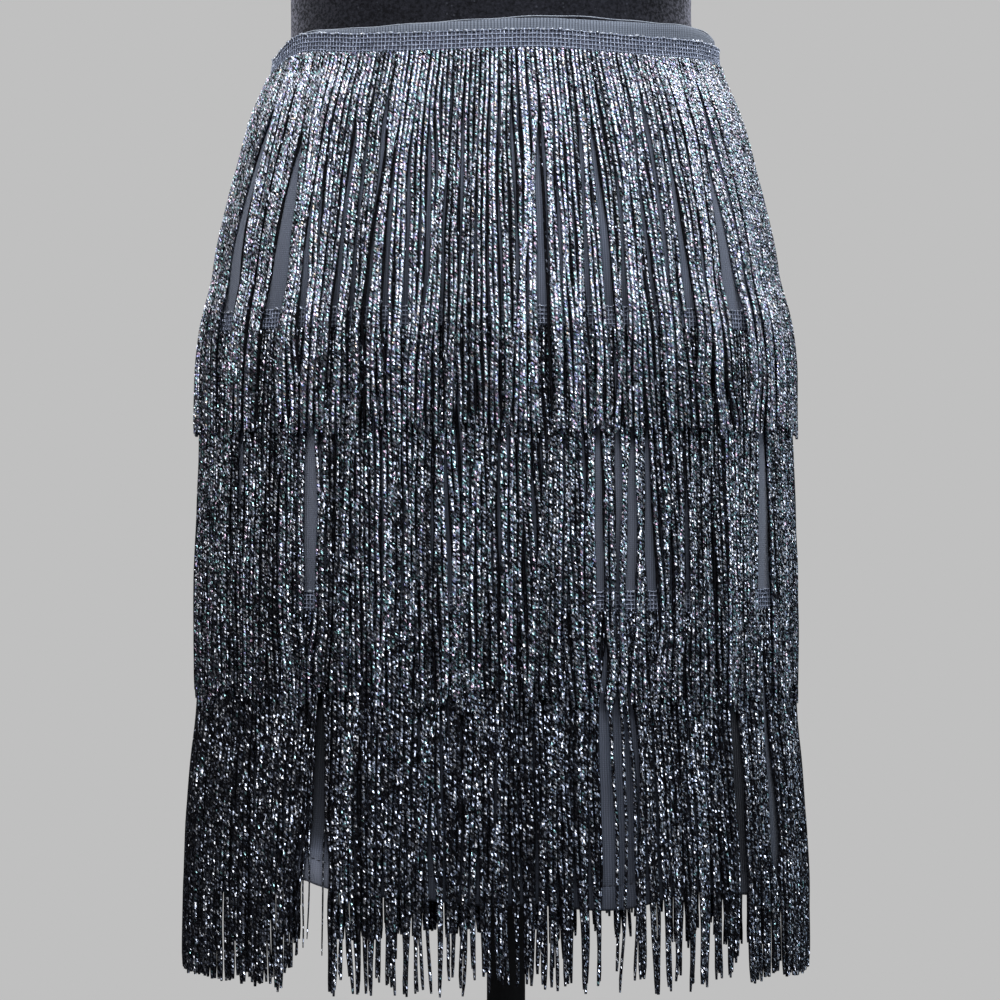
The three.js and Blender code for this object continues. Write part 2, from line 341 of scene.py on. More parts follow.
def arcRate(angle, z):  # mm of cloth for each degree
    half, front, back = clothSection(z)
    c, s = np.cos(np.radians(angle)), np.sin(np.radians(angle))
    depth = np.where(s >= 0, front, back)
    return np.hypot(half * s, depth * c) * math.pi / 180


def roundLength(z):
    step = 0.25
    return float(np.sum(arcRate(np.arange(0, 360, step), z)) * step)


def angleTable(z):  # angles and the distances round the cloth where they lie
    step = 0.125
    angle = np.arange(0, 360 + step, step)
    return angle, np.concatenate([[0], np.cumsum(arcRate(angle[:-1] + step / 2, z) * step)])


def evenAngles(z, places):  # the angles at given distances round the cloth
    angle, run = angleTable(z)
    return np.interp(places % run[-1], run, angle)


# Finishes

# each knit's dark colour is painted shade in the furrows between its ribs, its light colour the tops of the
# ribs
knits = table(
    "key name dark light ribPitch",
    ("knit", "knitSlate", (0.046, 0.054, 0.076, 1), (0.157, 0.181, 0.246, 1), 1.45),
    ("band", "knitBand", (0.010, 0.014, 0.022, 1), (0.25, 0.285, 0.357, 1), 1.7),
    ("ribbon", "tapeRibbon", (0.042, 0.047, 0.066, 1), (0.105, 0.113, 0.155, 1), 2.3),
    ("edge", "edgeThread", (0.16, 0.18, 0.22, 1), (0.42, 0.46, 0.54, 1), 0.9),
    ("thread", "sewingThread", (0.03, 0.03, 0.04, 1), (0.09, 0.095, 0.12, 1), 0.5),
)
metallics = table(
    "key name share yarn lean sway",
    ("cord", "cordMetallic", 0.98, (0.003, 0.003, 0.005, 1), 0.5, 0.46),
    ("net", "netThread", 0.34, (0.31, 0.355, 0.475, 1), 0.5, 0.4),
    ("picot", "picotThread", 0.5, (0.40, 0.44, 0.52, 1), 0.4, 0.4),
)
metals = table(
    "key name roughness coat",
    ("metal", "blackMetal", 0.36, 0.25), ("cap", "blackCap", 0.5, 0.0),
)
colours = {
    "knitPaintedShade": (0.008, 0.009, 0.012, 1),  # painted shade for the cloth in the dark under the fringe
    # painted light for the cloth where it stands in the light
    "knitPaintedLight": (0.195, 0.215, 0.275, 1),
    "knitSheen": (0.62, 0.68, 0.8, 1),
    "foil": [  # the share of facets where each tint starts, and the tint
        (0.0, (0.69, 0.77, 0.97, 1)), (0.36, (0.87, 0.90, 0.99, 1)), (0.66, (0.46, 0.82, 0.86, 1)),
        (0.79, (0.86, 0.62, 0.83, 1)), (0.87, (0.52, 0.55, 0.98, 1)), (0.96, (0.95, 0.80, 0.66, 1)),
    ],
    "velvetDark": (0.006, 0.0063, 0.008, 1),
    "velvetLight": (0.0245, 0.0255, 0.034, 1),
    "velvetLint": (0.12, 0.13, 0.16, 1),
    # painted sheen: pale grey on the velvet's edges that turn away from the view
    "velvetPaintedSheen": (0.29, 0.29, 0.36, 1),
    "velvetSheen": (0.52, 0.55, 0.64, 1),
    "metal": (0.035, 0.035, 0.036, 1),
    "metalSmear": (0.07, 0.069, 0.069, 1),
}


def makeRibGroup():
    tree, given, end = newGroup(
        "ribKnit", "ShaderNodeTree", {"Place": "Vector", "Rib pitch": 1.45, "Course pitch": 1.1},
        {"Height": "Float", "Shade": "Float"},
    )
    calc = partial(maths, tree)
    place = addNode(tree, "ShaderNodeSeparateXYZ", {0: given["Place"]}).outputs
    wander = calc("MULTIPLY", calc("SUBTRACT", noise(tree, given["Place"], 0.05, 3), 0.5), 1.6)
    across = calc("DIVIDE", calc("ADD", place[0], wander), given["Rib pitch"])
    rib = calc("ABSOLUTE", calc("SINE", calc("MULTIPLY", across, math.pi)))
    courses = calc("DIVIDE", place[1], given["Course pitch"])
    course = calc("SINE", calc("MULTIPLY", courses, 2 * math.pi))
    fuzz = calc("MULTIPLY", noise(tree, given["Place"], 2.2, 4), 0.35)
    height = calc("ADD", calc("ADD", rib, calc("MULTIPLY", course, 0.14)), fuzz)
    patch = calc("MULTIPLY", noise(tree, given["Place"], 0.02, 3), 0.5)
    # painted shade: darker in the furrows between the ribs, with patches of tone at random
    shade = calc("MINIMUM", calc("MULTIPLY_ADD", rib, 0.55, patch), 1.0)
    feed(tree, end, {"Height": height, "Shade": shade})
    return tree


def makeKnit(facts):
    material, tree, shader = newMaterial(facts["name"])
    rib = useGroup(tree, ribKnit, {"Place": clothPlace(tree), "Rib pitch": facts["ribPitch"]})
    # an attribute of the cloth carries painted shade under the fringe and painted light where the cloth
    # stands in the light
    paintedShadeAndLight = attribute(tree, "paintedShadeAndLight")
    # the rib furrows get painted shade
    plain = mixColour(tree, rib["Shade"], facts["dark"], facts["light"])
    shaded = mixColour(tree, paintedShadeAndLight, plain, colours["knitPaintedShade"])
    paintedLightShare = maths(tree, "MULTIPLY", paintedShadeAndLight, -1.0)
    feed(tree, shader, {
        "Base Color": mixColour(tree, paintedLightShare, shaded, colours["knitPaintedLight"]),
        "Normal": bump(tree, rib["Height"], 0.7, 0.0004),
        "Roughness": 0.88, "Specular IOR Level": 0.15,
        "Sheen Weight": 0.35, "Sheen Roughness": 0.5, "Sheen Tint": colours["knitSheen"],
    })
    return material


def makeMetallicGroup():
    # a cord of black yarn with a flat metallic ply wound round it
    # Place is turns round the cord and mm along it
    tree, given, end = newGroup(
        "metallicCord", "ShaderNodeTree",
        {"Place": "Vector", "Cord": 0.0, "Twist": 2.2, "Plies": 2.0, "Round": 5.2, "Facets": 1.05,
         "Share": 0.8, "Lean": 0.45, "Lift": 0.09, "Sway": 0.3, "Painted light": 1.0},
        {"Metal": "Float", "Roughness": "Float", "Tint": "Color", "Facet": "Vector"},
    )
    calc = partial(maths, tree)
    vector = partial(vectorMaths, tree)

    # each facet of the ply gets a number of its own, and so does each cord
    place = addNode(tree, "ShaderNodeSeparateXYZ", {0: given["Place"]}).outputs
    winding = calc("MULTIPLY_ADD", place[0], given["Plies"], calc("DIVIDE", place[1], given["Twist"]))
    ply = calc("FRACT", winding)
    closeness = calc("MAXIMUM", calc("MULTIPLY_ADD", given["Painted light"], 0.85, 0.2), 0.62)
    along = calc("MULTIPLY", winding, calc("MULTIPLY", given["Twist"], closeness))
    cell = vectorOf(tree, calc("MULTIPLY", place[0], given["Round"]), along)
    facets = addNode(tree, "ShaderNodeTexVoronoi", {
        "Vector": cell, "Scale": given["Facets"], "Randomness": 0.9}, voronoi_dimensions="2D").outputs
    chance = dice(tree, "Vector", facets["Color"], "3D")
    spot = addNode(tree, "ShaderNodeSeparateColor", {0: chance[1]}).outputs
    own = dice(tree, "W", given["Cord"], "1D")
    ownSpot = addNode(tree, "ShaderNodeSeparateColor", {0: own[1]}).outputs

    # metal where a facet lies on the ply and is one of those that glint; painted light cuts their share, so
    # lower tiers and the row behind carry painted shade
    onPly = calc("LESS_THAN", ply, calc("MULTIPLY_ADD", spot[2], 0.4, 0.6))
    withPaintedLight = calc("MULTIPLY", given["Share"], given["Painted light"])
    share = calc("MULTIPLY", withPaintedLight, calc("MULTIPLY_ADD", own[0], 0.4, 0.75))
    metal = calc("MULTIPLY", onPly, calc("LESS_THAN", chance[0], share))
    soft = calc("MAXIMUM", calc("MULTIPLY", given["Painted light"], 0.25), 0.18)
    polish = calc("MULTIPLY_ADD", spot[2], 0.18, soft)
    rough = socketOf(tree, "ShaderNodeMix", {0: metal, 2: 0.85, 3: polish}, data_type="FLOAT")

    # tints of the foil
    ramp = addNode(tree, "ShaderNodeValToRGB", {0: spot[0]})
    ramp.color_ramp.interpolation = "CONSTANT"
    stops = ramp.color_ramp.elements
    while len(stops) < len(colours["foil"]):
        stops.new(1.0)
    for stop, (position, colour) in zip(stops, colours["foil"]):
        stop.position = position
        stop.color = colour
    facetLight = calc("MULTIPLY_ADD", spot[1], 0.55, 0.45)
    cordLight = calc("MULTIPLY_ADD", ownSpot[0], 0.66, 0.34)
    bright = calc("MULTIPLY", facetLight, cordLight)
    dim = socketOf(tree, "ShaderNodeCombineColor", {0: bright, 1: bright, 2: bright})
    tint = mixColour(tree, 1.0, ramp.outputs[0], dim, "MULTIPLY")

    # each facet leans its own way, and a few lean far
    rope = bump(tree, calc("SINE", calc("MULTIPLY", ply, math.pi)), 0.7, 0.00012)
    second = dice(tree, "Vector", chance[1], "3D")
    anyWay = vector("SUBTRACT", vector("ADD", chance[1], second[1]), (1, 1, 1))
    lean = vector("MULTIPLY", anyWay, vectorOf(tree, given["Sway"], given["Sway"], given["Lean"]))
    wide = calc("MULTIPLY_ADD", calc("POWER", spot[1], 5.0), 1.7, 0.9)
    lean = vector("MULTIPLY", lean, vectorOf(tree, 1.0, 1.0, wide))
    lifted = vector("ADD", lean, vectorOf(tree, z=given["Lift"]))
    facet = vector("NORMALIZE", vector("ADD", rope, lifted))
    feed(tree, end, {"Metal": metal, "Roughness": rough, "Tint": tint, "Facet": facet})
    return tree


def makeMetallic(facts):
    material, tree, shader = newMaterial(facts["name"])
    # the cords' painted light attribute gives lower tiers and the row behind painted shade
    cord = useGroup(tree, metallicCord, {
        "Place": clothPlace(tree), "Cord": attribute(tree, "cordSeed"),
        "Painted light": attribute(tree, "cordPaintedLight"), "Share": facts["share"],
        "Lean": facts["lean"], "Sway": facts["sway"]})
    feed(tree, shader, {
        "Base Color": mixColour(tree, cord["Metal"], facts["yarn"], cord["Tint"]), "Metallic": cord["Metal"],
        "Roughness": cord["Roughness"], "Normal": cord["Facet"], "Specular IOR Level": 0.1,
    })
    return material


def makeVelvet():
    material, tree, shader = newMaterial("velvetBlack")
    calc = partial(maths, tree)
    place = objectPlace(tree)
    nap = noise(tree, place, 30, 6, 0.7)
    pile = noise(tree, place, 520, 3, 0.7)
    lint = socketOf(tree, "ShaderNodeTexVoronoi", {"Vector": place, "Scale": 190}, "Distance")
    tone = calc("MULTIPLY_ADD", nap, 0.6, calc("MULTIPLY", pile, 1.2))
    shade = between(tree, tone, 0.7, 1.14)
    plain = mixColour(tree, shade, colours["velvetDark"], colours["velvetLight"])
    speck = calc("MULTIPLY", calc("LESS_THAN", lint, 0.12), 0.22)
    linty = mixColour(tree, speck, plain, colours["velvetLint"])
    # painted sheen: the colour turns pale grey, mottled by the pile, where the surface turns away from the
    # view
    facing = socketOf(tree, "ShaderNodeLayerWeight", {"Blend": 0.36}, "Facing")
    speckle = calc("MULTIPLY_ADD", between(tree, pile, 0.45, 0.58), 3.4, 0.2)
    paintedSheen = calc("MULTIPLY", calc("POWER", facing, 3.0), speckle, clamp=True)
    feed(tree, shader, {
        "Base Color": mixColour(tree, paintedSheen, linty, colours["velvetPaintedSheen"]),
        "Normal": bump(tree, pile, 0.6, 0.0008),
        "Roughness": 0.95, "Specular IOR Level": 0.08,
        "Sheen Weight": 0.22, "Sheen Roughness": 0.35, "Sheen Tint": colours["velvetSheen"],
    })
    return material


def makeBlackMetal(facts):
    material, tree, shader = newMaterial(facts["name"])
    place = objectPlace(tree)
    smear = noise(tree, place, 14, 5, 0.6)
    grain = noise(tree, place, 700, 2)
    feed(tree, shader, {
        "Base Color": mixColour(tree, smear, colours["metal"], colours["metalSmear"]),
        "Roughness": maths(tree, "MULTIPLY_ADD", smear, 0.22, facts["roughness"] - 0.11),
        "Normal": bump(tree, grain, 0.25, 0.0003), "Coat Weight": facts["coat"],
    })
    return material


ribKnit = makeRibGroup()
metallicCord = makeMetallicGroup()
finish = {
    **{facts["key"]: makeKnit(facts) for facts in knits},
    **{facts["key"]: makeMetallic(facts) for facts in metallics},
    **{facts["key"]: makeBlackMetal(facts) for facts in metals},
    "velvet": makeVelvet(),
}
print("finishes made:", len(finish))


# Knit panels

panel = {
    "columns": 150,
    "rows": 64,
    "hemRows": 14,
    "hemAbove": 6,  # how far above the stitches the hem's closer rows begin
    "turnUp": 14,  # stitched hem
    "turnRows": 7,
    "turnTop": 3,  # how far above the stitches the turned edge ends
    "turnDepth": 1.75,  # how far inside the turned edge lies
    "foldDepth": 0.8,
    "foldDrop": 0.35,  # how far the hem's fold hangs below its outer face
    "stitchPull": {"depth": 0.45, "reach": 1.3},
    "hemPuff": {"height": 0.35, "above": 6, "reach": 5},
    "thickness": 0.75,
    "seamGap": 0.15,
    "seamDip": 0.7,
    "seamWidth": 1.6,
    "seamColumns": [0.3, 0.8, 1.6],  # extra columns beside the seams, in degrees
    "patternHeight": 750.0,  # where the ribs are counted
    "patternShift": 2.6,  # mm for each degree where a panel starts
    "creases": table(  # soft troughs and ridges that show between the cords
        "at width depth top bottom",
        (123.3, 8.5, -2.6, 650, 480), (123.5, 3.4, 3.6, 504, 450), (66, 5.0, -1.6, 640, 450),
        (73, 3.5, 0.8, 620, 450), (40, 4.5, -1.0, 600, 450), (136, 5.0, 0.7, 900, 790),
        (80, 4.5, -0.7, 905, 800), (28, 5.0, 0.8, 740, 620), (203, 5.0, 1.0, 640, 450),
        (232, 4.5, -1.0, 600, 440), (262, 6.0, 0.9, 760, 600), (284, 4.5, 1.1, 590, 440),
        (318, 5.5, -1.0, 660, 450), (344, 4.5, 0.9, 640, 450),
    ),
    "underFringe": 0.5,  # how much painted shade the cloth gets under the lowest tier
    "underFrom": 612,
    "underOver": 30,
    "shadeEdges": (0.4, 0.3),  # how sharply a shade ends across and down, 1 being soft
    # patches of painted shade on the cloth; those whose amount is below 0 are painted light
    "paintedPatches": table(
        "at width top bottom amount",
        (123.4, 9.0, 665, 490, 0.5), (123.6, 8.0, 494, 440, -1.75), (68.5, 9.0, 690, 370, -0.35),
        (39.5, 5.0, 640, 430, 0.5), (127.0, 6.0, 760, 610, -0.8), (28.4, 8.0, 760, 560, -1.1),
        (67.2, 8.0, 760, 610, -0.5), (113.5, 30.0, 866, 780, 0.5), (67.0, 12.0, 838, 780, 0.35),
        (38.0, 7.0, 900, 775, -0.4), (138.0, 10.0, 900, 775, -0.45), (153.5, 10.0, 900, 775, -0.3),
    ),
}


def patchAt(patch, angle, z, edges=(1, 1)):  # 1 in the middle of a patch of cloth, 0 past its edges
    middle = (patch["top"] + patch["bottom"]) / 2
    length = (patch["top"] - patch["bottom"]) / 2
    across = hump(turnBetween(angle, patch["at"]) / patch["width"])
    return across ** edges[0] * hump((z - middle) / length) ** edges[1]


def creaseAt(angle, z):
    return sum(crease["depth"] * patchAt(crease, angle, z) for crease in panel["creases"])


def hollowAt(angle, z):  # painted shade, 1 in the dark under the fringe; below 0 it is painted light, where the cloth stands in the light
    under = panel["underFringe"] * ease((panel["underFrom"] - z) / panel["underOver"]) + 0 * angle
    edges = panel["shadeEdges"]
    return under + sum(shade["amount"] * patchAt(shade, angle, z, edges) for shade in panel["paintedPatches"])


def waistHeight(angle):
    return body["waistEdge"] + waveAt(body["waistWaves"], angle)


def hemHeight(angle):
    return body["hem"] + waveAt(body["hemWaves"], angle)


def makePanel(name, fromAngle, toAngle, node):
    close = np.array(panel["seamColumns"])
    even = np.linspace(fromAngle, toAngle, panel["columns"])
    angle = np.sort(np.concatenate([even, fromAngle + close, toAngle - close]))[None, :]
    top, hem = waistHeight(angle), hemHeight(angle)
    stitchLine = hem + panel["turnUp"]
    hemTop = stitchLine + panel["hemAbove"]

    # the outside from the waist down, the fold, and the turned edge from the hem up
    upper = top + (hemTop - top) * np.linspace(0, 1, panel["rows"])[:, None]
    lower = hemTop + (hem - hemTop) * np.linspace(0, 1, panel["hemRows"])[1:, None]
    outside = np.concatenate([upper, lower])
    inside = hem + (stitchLine + panel["turnTop"] - hem) * np.linspace(0, 1, panel["turnRows"])[:, None]
    z = np.concatenate([outside, hem - panel["foldDrop"], inside])
    pull, puff = panel["stitchPull"], panel["hemPuff"]
    outward = -pull["depth"] * bell((outside - stitchLine) / pull["reach"])
    outward += puff["height"] * bell((outside - hem - puff["above"]) / puff["reach"])
    layers = (hem, -panel["foldDepth"]), (inside, -panel["turnDepth"])
    out = np.concatenate([outward, *(np.full_like(rows, depth) for rows, depth in layers)])
    out = out + creaseAt(angle, z)
    fromSeam = np.minimum(angle - fromAngle, toAngle - angle) * arcRate(angle, z)
    out = out - panel["seamDip"] * bell(fromSeam / panel["seamWidth"])
    points = clothPoint(angle, z, out)
    points[:, [0, -1], 1] += panel["seamGap"] * (-1 if fromAngle == 0 else 1)

    # the rib pattern follows the cloth, in mm
    widths = arcRate(angle[0, :-1], panel["patternHeight"]) * np.diff(angle[0])
    u = np.cumsum(np.concatenate([[0], widths])) + fromAngle * panel["patternShift"]
    v = np.where(np.arange(len(z))[:, None] < len(outside), top - z, top - 2 * hem + z)
    mesh = gridMesh(name, points, np.stack([np.broadcast_to(u, z.shape), v], -1))
    # painted shade and painted light for the cloth's colour
    setAttribute(mesh, "paintedShadeAndLight", "FLOAT", hollowAt(angle, z))
    return hand(thicken(addObject(name, mesh), panel["thickness"]), finish["knit"], [node])


skirtFront = makePanel("skirtFront", 0, 180, "skirt_front")
skirtBack = makePanel("skirtBack", 180, 360, "skirt_back")
print("knit panels made")


# Waistband: a folded strip of ribbed elastic inside the top edge

band = {
    "bottom": 933,
    "outside": -1.6,
    "inside": -3.0,
    "above": 0.5,
    "thickness": 0.65,
    "columns": 260,
    "rows": 12,
    "fold": 0.6,  # height of the rounding along its top
    "ripples": 14,
    "ripple": {"depth": 0.25, "reach": 12},
    "flatAt": 950.0,  # the height where its length is measured
    "cut": 64,
}


def bandTop(angle):
    return waistHeight(angle) + band["above"] + waveAt(body["bandWaves"], angle)


def makeWaistband():
    angle = np.linspace(0, 360, band["columns"] + 1)[None, :]
    top = bandTop(angle)
    bottom = band["bottom"] + 0 * angle
    wall = bottom + (top - band["fold"] - bottom) * np.linspace(0, 1, band["rows"])[:, None]
    z = np.concatenate([wall, top, wall[::-1]])
    layers = (wall, band["outside"]), (angle, (band["outside"] + band["inside"]) / 2), (wall, band["inside"])
    out = np.concatenate([np.full_like(rows, depth) for rows, depth in layers])
    ripple = band["ripple"]["depth"] * np.sin(np.radians(angle * band["ripples"]))
    points = clothPoint(angle, z, out + ripple * hump((z - top) / band["ripple"]["reach"]))
    u = np.broadcast_to(np.linspace(0, roundLength(band["flatAt"]), angle.size), z.shape)
    v = np.cumsum(np.concatenate([np.zeros_like(angle), np.abs(np.diff(z, axis=0)) + 0.01]), axis=0)
    mesh = gridMesh("waistband", points[:, ::-1], np.stack([u, v], -1), around=True)
    piece = thicken(addObject("waistband", mesh), band["thickness"])
    return hand(piece, finish["band"], ["waistband"])


waistband = makeWaistband()
print("waistband made")


# Geometry Nodes trees for what repeats

def stored(tree, geometry, name, value, kind="FLOAT2", domain="CORNER"):
    inputs = {"Geometry": geometry, "Name": name, "Value": value}
    return socketOf(tree, "GeometryNodeStoreNamedAttribute", inputs, data_type=kind, domain=domain)


def smoothed(tree, geometry):
    return socketOf(tree, "GeometryNodeSetShadeSmooth", {"Geometry": geometry, "Shade Smooth": True})


def realized(tree, geometry):
    return socketOf(tree, "GeometryNodeRealizeInstances", {"Geometry": geometry})


def covered(tree, geometry, material):
    return socketOf(tree, "GeometryNodeSetMaterial", {"Geometry": geometry, "Material": material})


def cordTree():
    # turns each run of edges into a cord, with its turns and millimetres as UVMap and a strip each as OFBake
    tree, given, end = newGroup(
        "hangingCords", "GeometryNodeTree",
        {"Geometry": "Geometry", "Cord radius": 0.00105, "Sides": 6, "Strips across": 80.0,
         "Strips down": 3.0, "Cord length": 0.22, "Finish": "Material"},
        {"Geometry": "Geometry"},
    )
    calc = partial(maths, tree)

    def named(name):
        return socketOf(tree, "GeometryNodeInputNamedAttribute", {"Name": name}, data_type="FLOAT")

    def captured(curve, name, measure):  # the curve, and its own length or share kept at each point
        node = addNode(tree, "GeometryNodeCaptureAttribute", domain="POINT")
        node.capture_items.new("FLOAT", name)
        spline = tree.nodes.new("GeometryNodeSplineParameter")
        feed(tree, node, {"Geometry": curve, 1: spline.outputs[measure]})
        return node.outputs[0], node.outputs[1]

    runs = socketOf(tree, "GeometryNodeMeshToCurve", {"Mesh": given["Geometry"]})
    run, along = captured(runs, "along", "Length")
    circle = {"Resolution": given["Sides"], "Radius": 1.0}
    ring, turn = captured(socketOf(tree, "GeometryNodeCurvePrimitiveCircle", circle), "around", "Factor")
    radius = calc("MULTIPLY", given["Cord radius"], named("cordWidth"))
    tubes = socketOf(tree, "GeometryNodeCurveToMesh", {
        "Curve": run, "Profile Curve": ring, "Scale": radius, "Fill Caps": True})

    # the last face round a cord ends at a whole turn, not back at 0
    faceMean = socketOf(tree, "GeometryNodeFieldOnDomain", {0: turn}, domain="FACE", data_type="FLOAT")
    lastFace = calc("GREATER_THAN", faceMean, 0.25)
    around = calc("ADD", turn, calc("MULTIPLY", calc("LESS_THAN", turn, 0.01), lastFace))
    ownStart = calc("MULTIPLY", named("cordSeed"), 4000.0)  # so that no two cords are alike
    millimetres = calc("MULTIPLY_ADD", along, 1 / mm, ownStart)
    patterned = stored(tree, tubes, "UVMap", vectorOf(tree, around, millimetres))

    # strips for the bake stand side by side in rows, with a little room between them
    stripWidth, sideRoom, stripHeight, footRoom = 0.92, 0.04, 0.97, 0.015
    number = named("cordNumber")
    column = calc("MODULO", number, given["Strips across"])
    row = calc("FLOOR", calc("DIVIDE", number, given["Strips across"]))
    share = calc("DIVIDE", along, given["Cord length"], clamp=True)
    acrossAll = calc("MULTIPLY_ADD", around, stripWidth, calc("ADD", column, sideRoom))
    downAll = calc("MULTIPLY_ADD", share, stripHeight, calc("ADD", row, footRoom))
    across = calc("DIVIDE", acrossAll, given["Strips across"])
    down = calc("DIVIDE", downAll, given["Strips down"])
    stripped = stored(tree, patterned, "OFBake", vectorOf(tree, across, down))
    real = realized(tree, smoothed(tree, stripped))
    feed(tree, end, {"Geometry": covered(tree, real, given["Finish"])})
    return tree


def beadTree():
    # sets a small rounded bead at every point: knots of the net, loops of its edge, stitches of the hem
    tree, given, end = newGroup(
        "beadsOnPoints", "GeometryNodeTree",
        {"Geometry": "Geometry", "Bead length": 0.0012, "Bead width": 0.0012, "Bead height": 0.0007,
         "Unevenness": 0.2, "Seed": 1, "Round": 1, "Finish": "Material"},
        {"Geometry": "Geometry"},
    )
    calc = partial(maths, tree)
    outwards = {"Name": "outwards"}
    normal = socketOf(tree, "GeometryNodeInputNamedAttribute", outwards, data_type="FLOAT_VECTOR")
    facing = socketOf(tree, "FunctionNodeAlignRotationToVector", {"Vector": normal}, axis="Z")
    upright = {"Rotation": facing, "Vector": (0, 0, 1)}
    level = socketOf(tree, "FunctionNodeAlignRotationToVector", upright, axis="Y", pivot_axis="Z")
    ball = socketOf(tree, "GeometryNodeMeshIcoSphere", {"Radius": 0.5, "Subdivisions": given["Round"]})
    low = calc("SUBTRACT", 1.0, given["Unevenness"])
    high = calc("ADD", 1.0, given["Unevenness"])
    limits = {"Seed": given["Seed"], 2: low, 3: high}
    chance = socketOf(tree, "FunctionNodeRandomValue", limits, socket=1, data_type="FLOAT")
    size = vectorOf(tree, given["Bead length"], given["Bead width"], given["Bead height"])
    scaled = socketOf(tree, "ShaderNodeVectorMath", {0: size, "Scale": chance}, operation="SCALE")
    beads = socketOf(tree, "GeometryNodeInstanceOnPoints", {
        "Points": given["Geometry"], "Instance": ball, "Rotation": level, "Scale": scaled})
    # beads take the cords' finish at full painted light
    withPaintedLight = stored(tree, realized(tree, beads), "cordPaintedLight", 1.0, "FLOAT", "POINT")

    # the cords' pattern runs over the beads by their place, at an uneven scale so that neighbours differ
    position = socketOf(tree, "GeometryNodeInputPosition")
    x, y, z = addNode(tree, "ShaderNodeSeparateXYZ", {0: position}).outputs
    along = calc("MULTIPLY_ADD", z, 900.0, calc("MULTIPLY", y, 700.0))
    place = vectorOf(tree, calc("MULTIPLY", x, 320.0), along)
    smooth = smoothed(tree, stored(tree, withPaintedLight, "UVMap", place))
    feed(tree, end, {"Geometry": covered(tree, smooth, given["Finish"])})
    return tree


def grown(name, mesh, tree, values):  # runs a tree on points or edges, and keeps what grows as a mesh
    piece = addObject(name, mesh)
    modifier = piece.modifiers.new("grow", "NODES")
    modifier.node_group = tree
    sockets = {item.name: item.identifier for item in tree.interface.items_tree if item.in_out == "INPUT"}
    for key, value in values.items():
        modifier[sockets[key]] = value
    piece = applied(piece)
    piece.data.materials.clear()
    piece.data.materials.append(values["Finish"])
    return piece


def runsMesh(name, points, width, seed, closed=False, first=0, paintedLight=1.0):
    # points is runs x steps x 3, and each run becomes one string of edges
    runs, steps = points.shape[:2]
    index = np.arange(runs * steps).reshape(runs, steps)
    edges = np.stack([index[:, :-1], index[:, 1:]], -1).reshape(-1, 2)
    if closed:
        edges = np.concatenate([edges, np.stack([index[:, -1], index[:, 0]], -1)])
    mesh = plainMesh(name, points, edges.tolist())
    setAttribute(mesh, "cordWidth", "FLOAT", np.broadcast_to(width, (runs, steps)))
    setAttribute(mesh, "cordSeed", "FLOAT", np.repeat(seed, steps))
    setAttribute(mesh, "cordNumber", "FLOAT", np.repeat(first + np.arange(runs), steps))
    # each cord's painted light: 1 fully lit, less for painted shade
    setAttribute(mesh, "cordPaintedLight", "FLOAT", np.full(runs * steps, paintedLight))
    return mesh


def beaded(name, points, outwards, size, values):  # size is a bead's length, width and height
    mesh = plainMesh(name, points)
    setAttribute(mesh, "outwards", "FLOAT_VECTOR", outwards)
    sizes = {f"Bead {side}": length * mm for side, length in zip(("length", "width", "height"), size)}
    return grown(name, mesh, beadsOnPoints, {**sizes, **values})


def outwardAt(angle, z):
    way = clothPoint(angle, z, 1.0) - clothPoint(angle, z, 0.0)
    return way / np.linalg.norm(way, axis=-1, keepdims=True)


hangingCords = cordTree()
beadsOnPoints = beadTree()


# The waistband's edge thread, which stands off it at the front right

edgeThread = {
    "columns": 360,
    "sides": 6,
    "radius": 0.34,
    "out": -2.3,
    "above": 0.2,
    "bows": table("at width rise", (68, 26, 1.3)),
    "wander": {"rise": 0.2, "times": 23},
}


def makeEdgeThread():
    angle = np.linspace(0, 360, edgeThread["columns"] + 1)[None, :-1]
    wander = edgeThread["wander"]["rise"] * np.sin(np.radians(angle * edgeThread["wander"]["times"]))
    stray = waveAt(edgeThread["bows"], angle) + wander
    points = clothPoint(angle, bandTop(angle) + edgeThread["above"] + stray, edgeThread["out"])
    mesh = runsMesh("bandEdgeThread", points, 1.0, np.array([0.4]), closed=True)
    piece = grown("bandEdgeThread", mesh, hangingCords, {
        "Cord radius": edgeThread["radius"] * mm, "Sides": edgeThread["sides"], "Finish": finish["edge"],
        "Strips across": 1.0, "Strips down": 1.0, "Cord length": roundLength(band["flatAt"]) * mm})
    return hand(piece, None)


bandEdgeThread = makeEdgeThread()
print("edge thread made")


# Fringe tapes: a dark ribbon under an open net, with looped glints along its top edge

tapes = {
    "height": 13,
    "ribbonColumns": 240,
    "ribbonRows": 6,
    "ribbonOut": 0.3,
    "ribbonThickness": 0.35,
    "netOut": 1.05,
    "netPitch": 2.3,
    "netRows": 6,
    "netEdges": (0.6, 0.5),  # from the tape's top and bottom to the net's first and last yarn
    "netWobble": {"spread": 0.10, "down": 0.8, "across": 0.5, "out": 0.06},
    "threadRadius": 0.34,
    "threadSides": 4,
    "knot": (1.25, 1.15, 0.8),
    "picotPitch": 4.4,
    "picot": (3.0, 1.7, 1.4),
    "picotDrop": 0.4,
    "picotOut": 1.15,
    "picotSpread": 0.2,  # chance in a loop's place, in pitches
    "picotRise": (-0.25, 0.35),
    "tops": [waistHeight, lambda angle: 800 + 0 * angle, lambda angle: 638.5 + 0 * angle],
    "picotsAt": [950.0, 800.0, 800.0],  # the height where the loops are counted off
    "flatAt": [950.0, 794.0, 632.0],  # the height where the tape's length is measured
}


def topLevel(top):  # the height of a tape's top at the front
    return float(np.mean(top(np.array([90.0]))))


